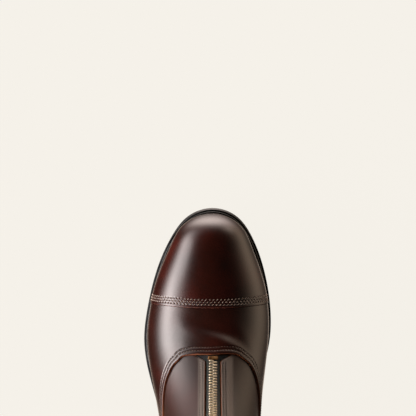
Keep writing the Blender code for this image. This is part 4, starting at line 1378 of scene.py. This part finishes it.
def collar_band_rows():
    """Both rows of thread round the band. Turns run on past the back seam, so that a row is unbroken."""
    side = np.linspace(ZIP_COLUMN + 0.01, 1.0, 260)
    turns = turn_of(np.full(2 * len(side) - 1, float(TOP_STATION)), np.concatenate([side, -side[-2::-1]]))
    stations = below_collar(turns, BAND_ROWS)
    turns = np.where(turns < 0, turns + 2, turns)
    return [(stations[:, k], turns) for k in range(len(BAND_ROWS))]


band = collar_band()
cover(band, BROWN_CALF, CUT_CALF, TAN_LINING)
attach(band, "boot")
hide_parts("collar_band")

band_thread = stitches(
    "collar_band_stitches", collar_band_rows(), STRAP_TOP - GROOVE_DEPTH, BAND_PITCH, NO_SLANT
)
cover(band_thread, BROWN_THREAD)
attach(band_thread, "boot")


# Zip tapes. Two halves of dark green-grey twill set below the leather in the opening, each with a cord woven
# into the edge that carries the teeth. From the middle out to the cord, and towards the foot of the opening,
# the tape is painted near black as painted shade.
TAPE_START = 5.65
TAPE_SINK = 0.0016
TAPE = 0.0008
TAPE_SPLIT = 0.0004
TAPE_PLAY = 0.0009
CORD_AT = 0.0034
CORD_RISE = 0.00030
CORD_WIDTH = 0.0005
FOOT_SHADE = 5.92
FOOT_SHADE_REACH = 0.15
TWILL_PITCH = 0.0007


def zip_tape(name, side):
    """One tape's wall on a grid of station and distance from the middle. The cord is a bell across it.
    Painted shade is marked from the middle out to the cord and near the foot of the opening.
    """
    stations = np.linspace(TAPE_START, TOP_STATION, 220)[:, None]
    x = TAPE_SPLIT + (slit_half(stations) - TAPE_PLAY - TAPE_SPLIT) * np.linspace(0.0, 1.0, 22)
    turns = turn_at(stations, side * x)
    stations = np.broadcast_to(stations, turns.shape)
    cord_and_shade = CORD_RISE * np.exp(-(((x - CORD_AT) / CORD_WIDTH) ** 2))
    # Painted shade under the teeth, and under the vamp's edge at the foot of the opening.
    foot = np.clip((FOOT_SHADE - stations) / FOOT_SHADE_REACH, 0.0, 1.0)
    shade = np.maximum(1 - ease(CORD_AT - CORD_WIDTH, CORD_AT, x), foot)
    if side < 0:
        stations, turns, cord_and_shade, shade = (rows[:, ::-1] for rows in (stations, turns, cord_and_shade, shade))
    outer, inner = layer(stations, turns, TAPE - TAPE_SINK + cord_and_shade), layer(stations, turns, -TAPE_SINK)
    return wall(name, outer, inner, values={"painted_shade": shade})


def twill(name, colour, light):
    """Polyester twill: fine slanted ribs, dull, with a lighter thread here and there, and painted near black
    where painted shade is marked.
    """
    made, tree, shader = new_material(name)
    place = add(tree, "ShaderNodeTexCoord").outputs["Object"]
    slant = add(tree, "ShaderNodeMapping", Vector=place, Rotation=(0.6, 0.0, 0.7))
    rib = add(tree, "ShaderNodeTexWave", Vector=slant, Scale=2 * math.pi / TWILL_PITCH / 20, Distortion=0.6)
    mixed = calc(tree, "ADD", rib.outputs["Fac"], noise(tree, 1500.0, 2.0))
    thread = ramp(tree, span(tree, mixed, 0.3, 1.7, 0.0, 1.0), 0.1, 0.9, (colour, light))
    cord_and_shade = add(tree, "ShaderNodeAttribute", {"attribute_name": "painted_shade"}).outputs["Fac"]
    put(
        tree,
        shader,
        # Painted shade: near black where it is marked.
        Base_Color=blend(tree, cord_and_shade, thread, linear("030403")),
        Normal=bump(tree, mixed, 0.5, 0.00015),
        Roughness=0.85,
        Sheen_Weight=0.3,
        Sheen_Roughness=0.5,
    )
    return made


GREEN_TWILL = twill("dark_green_twill_tape", "121713", "2c332e")
for tape_name, tape_node, tape_side in (
    ("lateral_tape_twill", "zip_tape_lateral", -1),
    ("medial_tape_twill", "zip_tape_medial", 1),
):
    tape = zip_tape(tape_name, tape_side)
    cover(tape, GREEN_TWILL, GREEN_TWILL, GREEN_TWILL)
    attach(tape, "boot")
    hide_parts(tape_node)


# Zip teeth. Cast brass teeth clamped on the two cords. Their heads mesh over the middle, and their pale brass
# is mottled darker at random.
CHAIN_START = 5.72
CHAIN_FOOT = -TAPE_SINK + TAPE + 0.0006
CHAIN = 0.0016
SLIDER_DROP = 0.0150
SLIDER_LENGTH = 0.0110
STOP_LENGTH = 0.0026
TOOTH_PITCH = 0.00235
TOOTH_LEAN = 20.0
# A tooth from its leg over the cord to its head: distance from the middle on its own side, half its length
# along the zip and half its height.
TOOTH = (
    # out, half length, half height
    (0.00300, 0.00000, 0.00000),
    (0.00299, 0.00022, 0.00045),
    (0.00285, 0.00033, 0.00072),
    (0.00240, 0.00037, 0.00080),
    (0.00120, 0.00037, 0.00080),
    (0.00060, 0.00033, 0.00074),
    (0.00025, 0.00026, 0.00050),
    (-0.00010, 0.00034, 0.00036),
    (-0.00040, 0.00026, 0.00028),
    (-0.00046, 0.00000, 0.00000),
)


ACROSS = np.array([1.0, 0.0, 0.0])


def station_after(station, distance):
    """The station that lies a distance further up the ridge."""
    stations = np.linspace(station, TOP_STATION, 2001)
    return np.interp(distance, lengths(skin(stations, 0.0)), stations)


def zip_frame(station, height):
    """Places over the ridge, with the directions up the zip and outwards."""
    station = np.asarray(station, float)
    nudge = 1e-3
    run = skin(station + nudge, 0.0) - skin(station - nudge, 0.0)
    run = run / np.linalg.norm(run, axis=-1, keepdims=True)
    out = skin_normal(station, np.zeros_like(station))
    return skin(station, 0.0) + height * out, run, out


def superellipse(count, power):
    """Points round a rounded square of half width 1."""
    turn = np.linspace(0.0, 2 * np.pi, count + 1)
    around = np.stack([np.cos(turn), np.sin(turn)], axis=-1)
    return np.sign(around) * np.abs(around) ** power


def zip_teeth():
    """Every tooth is rounded squares carried across the zip by the table. The two sides are half a pitch
    apart."""
    low = station_after(CHAIN_START, STOP_LENGTH + GAP)
    high = below_collar([0.0], [SLIDER_DROP + SLIDER_LENGTH / 2])[0, 0]
    reach = lengths(skin(np.linspace(low, high, 2001), 0.0))[-1]
    places = np.arange(TOOTH_PITCH / 4, reach - TOOTH_PITCH / 4, TOOTH_PITCH / 2)
    stations = station_after(low, places)
    middle, run, out = zip_frame(stations, CHAIN_FOOT + CHAIN / 2)
    side = np.where(np.arange(len(places)) % 2, 1.0, -1.0)
    across, length, height = np.array(TOOTH).T
    lean = math.radians(TOOTH_LEAN)
    run, out = run * math.cos(lean) + out * math.sin(lean), out * math.cos(lean) - run * math.sin(lean)
    square = superellipse(12, 0.65)
    grid = middle[:, None, None] + (side[:, None] * across)[:, :, None, None] * ACROSS
    grid = grid + (length[:, None] * square[:, 0])[None, :, :, None] * run[:, None, None]
    grid = grid + (height[:, None] * square[:, 1])[None, :, :, None] * out[:, None, None]
    # The side turns the grid inside out, so the other side's squares run the other way round.
    grid[side < 0] = grid[side < 0][:, :, ::-1]
    return grid_piece("zip_teeth_brass", grid, sharp=50.0)


def antique_brass(name, bright, dark, roughness, stain=0.5):
    """Brass with a dark chemical patina, mixed at random with brighter brass."""
    made, tree, shader = new_material(name)
    cloud = noise(tree, 420.0, 4.0)
    put(
        tree,
        shader,
        Base_Color=ramp(tree, cloud, stain - 0.2, stain + 0.2, (dark, bright)),
        Roughness=span(tree, cloud, 0.3, 0.7, roughness + 0.12, roughness - 0.05),
        Normal=bump(tree, noise(tree, 2200.0, 2.0), 0.15, 0.00005),
        Metallic=1.0,
    )
    return made


TOOTH_BRASS = antique_brass("cast_tooth_brass", "fff2d8", "e2c896", 0.36, 0.36)
teeth = zip_teeth()
cover(teeth, TOOTH_BRASS)
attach(teeth, "boot")
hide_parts("zip_chain")


# Bottom stop. A bent strip of browned brass clamped over the foot of both rows of teeth.
STOP_WIDTH = 0.0074
STOP_THICKNESS = 0.0020
STOP_DENT = 0.0003


def bottom_stop():
    """Rounded squares carried across the zip, smaller towards both ends. The dent lowers the upper face
    between the sides by the square of a cosine."""
    # Distance across and size, both as shares, from one end to the middle.
    share = np.array([1.0, 1.0, 0.985, 0.94, 0.85, 0.6, 0.3, 0.0])
    size = np.array([0.0, 0.55, 0.78, 0.94, 1.0, 1.0, 1.0, 1.0])
    share = np.concatenate([-share, share[-2::-1]])
    size = np.concatenate([size, size[-2::-1]])[:, None]
    place, run, out = zip_frame(station_after(CHAIN_START, STOP_LENGTH / 2), CHAIN_FOOT + STOP_THICKNESS / 2)
    square = superellipse(28, 0.5)
    along = STOP_LENGTH / 2 * size * square[:, 0]
    dent = STOP_DENT * np.clip(square[:, 1], 0, 1) * np.cos(share * np.pi / 2)[:, None] ** 2
    up = STOP_THICKNESS / 2 * size * square[:, 1] - dent
    grid = place + (STOP_WIDTH / 2 * share)[:, None, None] * ACROSS
    return grid_piece("bottom_stop_brass", grid + along[..., None] * run + up[..., None] * out, sharp=50.0)


BROWNED_BRASS = antique_brass("browned_stop_brass", "a87f52", "5a3d26", 0.42)
stop = bottom_stop()
cover(stop, BROWNED_BRASS)
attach(stop, "boot")
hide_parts("zip_bottom_stop")


# Slider. Two cast brass plates joined at the nose, with slots at the sides for the tapes and a bridge over
# the upper plate that holds the pull tab. It is drawn up to the head of the teeth.
SLIDER_WIDTH = 0.0088
SLIDER_THICKNESS = 0.0032
SLIDER_SLOT = 0.0014
SLIDER_PLATE = 0.00075
SLIDER_LIP = 0.00035
SLIDER_CROWN = 0.00004
SLOT_DRAFT = 0.0001
BRIDGE_RADIUS = 0.0032
BRIDGE_WIRE = 0.0007
BRIDGE_WIDTH = 0.0010
SLIDER_STATION = float(below_collar([0.0], [SLIDER_DROP])[0, 0])


def capped(grid):
    """A tube of rings with both ends drawn together."""
    ends = grid.mean(axis=1, keepdims=True) + 0 * grid
    return np.concatenate([ends[:1], grid, ends[-1:]])


def slider():
    """A section like two stacked plates, carried along the zip: its width grows towards the nose, which is
    rounded in plan, and both ends are drawn together. The bridge is half a flattened ring on the upper
    plate."""
    place, run, out = zip_frame(SLIDER_STATION, CHAIN_FOOT + SLIDER_THICKNESS / 2)
    half = SLIDER_THICKNESS / 2
    plate = half - SLIDER_PLATE
    lip = SLIDER_LIP
    slot = 0.97 - SLIDER_SLOT / (SLIDER_WIDTH / 2)
    # One side of the upper half, as shares of the half width with heights: the face, the lip and the slot.
    upper_side = np.array(
        [
            (0.0, half),
            (0.55, half),
            (0.80, half - SLIDER_CROWN),
            (0.93, half - 0.3 * lip),
            (1.0, half - lip),
            (1.0, plate + 0.2 * lip),
            (0.97, plate),
            (slot, plate - SLOT_DRAFT),
        ]
    )
    side = np.concatenate([upper_side, upper_side[:0:-1] * (1, -1)])
    section = np.concatenate([side, [(0.0, -half)], side[:0:-1] * (-1, 1), side[:1]])
    along = np.linspace(-1.0, 1.0, 25)
    along = np.sin(along * np.pi / 2)
    width = SLIDER_WIDTH / 2 * (0.86 + 0.14 * ease(-0.6, 0.5, along))
    corner = 1 - 0.45 * np.clip((np.abs(along) - 0.72) / 0.28, 0, 1) ** 2.4
    thin = 1 - 0.35 * np.clip((np.abs(along) - 0.86) / 0.14, 0, 1) ** 2
    x = (width * corner)[:, None] * section[:, 0]
    up = thin[:, None] * section[:, 1]
    body = place + x[..., None] * ACROSS + up[..., None] * out
    body = body + (SLIDER_LENGTH / 2 * along)[:, None, None] * run

    root, _, _ = zip_frame(SLIDER_STATION, CHAIN_FOOT + SLIDER_THICKNESS)
    arc = np.linspace(-0.16, np.pi + 0.16, 33)[:, None]
    turn = superellipse(16, 0.7)
    flare = 1 + 0.35 * np.cos(arc) ** 4
    radius = BRIDGE_RADIUS + BRIDGE_WIRE * turn[:, 1]
    hoop = root + (radius * np.cos(arc))[..., None] * run + (radius * np.sin(arc))[..., None] * out
    hoop = hoop + (BRIDGE_WIDTH * flare * turn[:, 0])[..., None] * ACROSS
    return grid_piece("slider_brass", capped(body), capped(hoop)[:, ::-1], sharp=35.0)


SLIDER_BRASS = antique_brass("antique_slider_brass", "b08a55", "6b4b2c", 0.28)
runner = slider()
cover(runner, SLIDER_BRASS)
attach(runner, "boot")
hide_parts("zip_slider")


# Pull tab. A flat stamped tab of the same brass that swings on the bridge. It has a window for the bridge,
# a bar under it and a slot near its end for the fingers.
PULL_LENGTH = 0.0270
PULL_WIDTH = 0.0074
PULL_THICKNESS = 0.0014
PULL_ROUND = 0.0016
PULL_BAR = 0.0015
PULL_ARM = 0.0013
PULL_WINDOW = 0.0041
PULL_GRIP_WIDTH = 0.0030
PULL_GRIP_LENGTH = 0.0055
PULL_GRIP_END = 0.0040
PULL_LEAN = 4.0
PULL_EDGE = 0.00035
PULL_LAP = 0.0010
LEAST_RADIUS = 0.00005


def rounded_rectangle(width, top, bottom, radius, steps=10):
    """A closed loop round a rectangle with arc corners, the same number of points for any size."""
    quarter = np.arange(4)[:, None]
    angle = np.pi / 2 * (quarter + np.linspace(0.0, 1.0, steps))
    centre_x = (width / 2 - radius) * np.array([1, -1, -1, 1])[:, None]
    centre_y = np.array([top - radius, top - radius, bottom + radius, bottom + radius])[:, None]
    loop = np.stack([centre_x + radius * np.cos(angle), centre_y + radius * np.sin(angle)], axis=-1)
    return np.concatenate([loop.reshape(-1, 2), loop[:1, 0]])


def frame_of(outer, inner):
    """A plate between an outer and an inner loop, each (width, top, bottom, radius), with rounded edges:
    loops carried round a closed section."""
    turn = np.linspace(0.0, np.pi / 2, 5)
    edge = list(zip(PULL_EDGE * (1 - np.cos(turn)), PULL_THICKNESS / 2 - PULL_EDGE * (1 - np.sin(turn))))
    walk = [(outer, step, height) for step, height in edge]
    walk += [(inner, -step, height) for step, height in edge[::-1]]
    walk += [(inner, -step, -height) for step, height in edge]
    walk += [(outer, step, -height) for step, height in edge[::-1]]
    stack = []
    for (width, top, bottom, radius), step, height in walk + walk[:1]:
        corner = max(radius - step, LEAST_RADIUS)
        flat = rounded_rectangle(width - 2 * step, top - step, bottom + step, corner)
        stack.append(np.column_stack([flat, np.full(len(flat), height)]))
    return np.array(stack)


def pull_tab():
    """The window's frame and the grip's plate, lapped into each other, hung on the bridge."""
    top = PULL_BAR / 2
    bottom = top - PULL_LENGTH
    window = -PULL_BAR / 2
    foot = window - PULL_WINDOW - PULL_ARM
    grip = bottom + PULL_GRIP_END
    plates = (
        frame_of(
            (PULL_WIDTH, top, foot - PULL_LAP, PULL_ROUND),
            (PULL_WIDTH - 2 * PULL_ARM, window, window - PULL_WINDOW, PULL_ARM / 2),
        ),
        frame_of(
            (PULL_WIDTH, foot, bottom, PULL_ROUND),
            (PULL_GRIP_WIDTH, grip + PULL_GRIP_LENGTH, grip, 0.45 * PULL_GRIP_WIDTH),
        ),
    )
    slider_top = CHAIN_FOOT + SLIDER_THICKNESS
    hinge, run, _ = zip_frame(SLIDER_STATION, slider_top + (BRIDGE_RADIUS - BRIDGE_WIRE) / 2)
    lean = math.atan2(run[2], run[1]) + math.radians(PULL_LEAN)
    up = np.array([0.0, math.cos(lean), math.sin(lean)])
    out = np.array([0.0, -math.sin(lean), math.cos(lean)])
    directions = np.array([ACROSS, up, out])
    return grid_piece("pull_tab_brass", *[hinge + plate @ directions for plate in plates], sharp=35.0)


tab = pull_tab()
cover(tab, SLIDER_BRASS)
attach(tab, "pull_tab")
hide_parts("zip_pull")


# Studio. A pale paper sweep curves up all round and closes overhead. It is seen by the camera alone, so the
# boot shows only the soft light of the studio: a large window low on its left, a weaker warm one on its
# right and the bright table in front of its toe.
SWEEP_RADIUS = 6.0
SWEEP_HEIGHT = 5.0
PAPER = "f7f3eb"
PAPER_SHADE = "242322"


def paper_sweep():
    """A disc that turns up in a quarter circle, runs on as a wall and closes in a dome."""
    angle = np.linspace(0.0, 2 * np.pi, 65)
    bend = np.linspace(0.0, np.pi / 2, 9)
    radius = np.concatenate([[0.0, 2.0], SWEEP_RADIUS - 1 + np.sin(bend), SWEEP_RADIUS * np.cos(bend)])
    height = np.concatenate([[0.0, 0.0], 1 - np.cos(bend), SWEEP_HEIGHT - 2 + 2 * np.sin(bend)])
    radius, height = radius[:, None], height[:, None]
    grid = np.stack([radius * np.cos(angle), radius * np.sin(angle), height + 0 * angle], axis=-1)
    return grid_piece("paper_sweep", grid)


sweep = paper_sweep()
PAPER_SURFACE, tree, shader = new_material("matt_pale_paper")
put(tree, shader, Base_Color=linear(PAPER_SHADE), Roughness=1.0, Specular_IOR_Level=0.0)
put(tree, shader, Emission_Color=linear(PAPER), Emission_Strength=0.965)
cover(sweep, PAPER_SURFACE)
sweep.visible_diffuse = False
sweep.visible_glossy = False
sweep.visible_shadow = False

# Soft lights as seen from the boot: the bearing from the toe towards its right, the height over the
# horizon, how far each spreads both ways, all in degrees, with its strength and colour.
LIGHTS = (
    # bearing, height, spread of bearing, spread of height, strength, colour
    (-101.0, 13.5, 31.0, 12.5, 16.5, "fff6f4"),
    (-62.0, 31.0, 6.0, 6.0, 3.0, "fff6f4"),
    (-4.0, -24.0, 20.0, 17.0, 5.1, "ffede6"),
    (31.0, 1.0, 9.0, 10.0, 1.2, "ffeede"),
    (66.0, -12.0, 34.0, 20.0, 1.2, "ffe2c4"),
    (180.0, -90.0, 360.0, 11.0, 1.0, "ffe6d0"),
)

AMBIENT = (0.015, 0.015, 0.015, 1.0)
world = bpy.data.worlds.new("studio")
world.use_nodes = True
tree = world.node_tree
tree.nodes.clear()
part = add(tree, "ShaderNodeSeparateXYZ", Vector=add(tree, "ShaderNodeTexCoord").outputs["Generated"])
rise = calc(tree, "ARCSINE", part.outputs["Z"])
bearing = calc(tree, "ARCTAN2", part.outputs["X"], part.outputs["Y"])
total = add(tree, "ShaderNodeRGB").outputs[0]
total.default_value = AMBIENT
for toward, height, wide, tall, strength, colour in LIGHTS:
    # A bell curve of both angles. The bearing is taken the short way round.
    turned = calc(tree, "WRAP", calc(tree, "SUBTRACT", bearing, math.radians(toward)), math.pi, -math.pi)
    turned = calc(tree, "DIVIDE", turned, math.radians(wide))
    raised = calc(tree, "DIVIDE", calc(tree, "SUBTRACT", rise, math.radians(height)), math.radians(tall))
    squares = calc(tree, "MULTIPLY_ADD", raised, raised, calc(tree, "MULTIPLY", turned, turned))
    bell = calc(tree, "EXPONENT", calc(tree, "MULTIPLY", squares, -0.5))
    scaled = calc(tree, "MULTIPLY", bell, strength)
    glow = add(tree, "ShaderNodeVectorMath", {"operation": "SCALE"}, i0=linear(colour)[:3], Scale=scaled)
    total = add(tree, "ShaderNodeVectorMath", {"operation": "ADD"}, i0=total, i1=glow).outputs[0]
background = add(tree, "ShaderNodeBackground", Color=total)
add(tree, "ShaderNodeOutputWorld", Surface=background)
bpy.context.scene.world = world

CAMERA_HEIGHT = 1.555
CAMERA_X = -0.0037
PIXELS = 416
FOCAL_PIXELS = 2001.3
SENSOR = 36.0
camera = bpy.data.cameras.new("camera")
camera.sensor_width = SENSOR
camera.lens = FOCAL_PIXELS / PIXELS * SENSOR
view = bpy.data.objects.new("camera", camera)
view.location = (CAMERA_X, TOE_TIP, CAMERA_HEIGHT)
bpy.context.scene.collection.objects.link(view)
bpy.context.scene.camera = view
bpy.context.scene.view_settings.view_transform = "Standard"
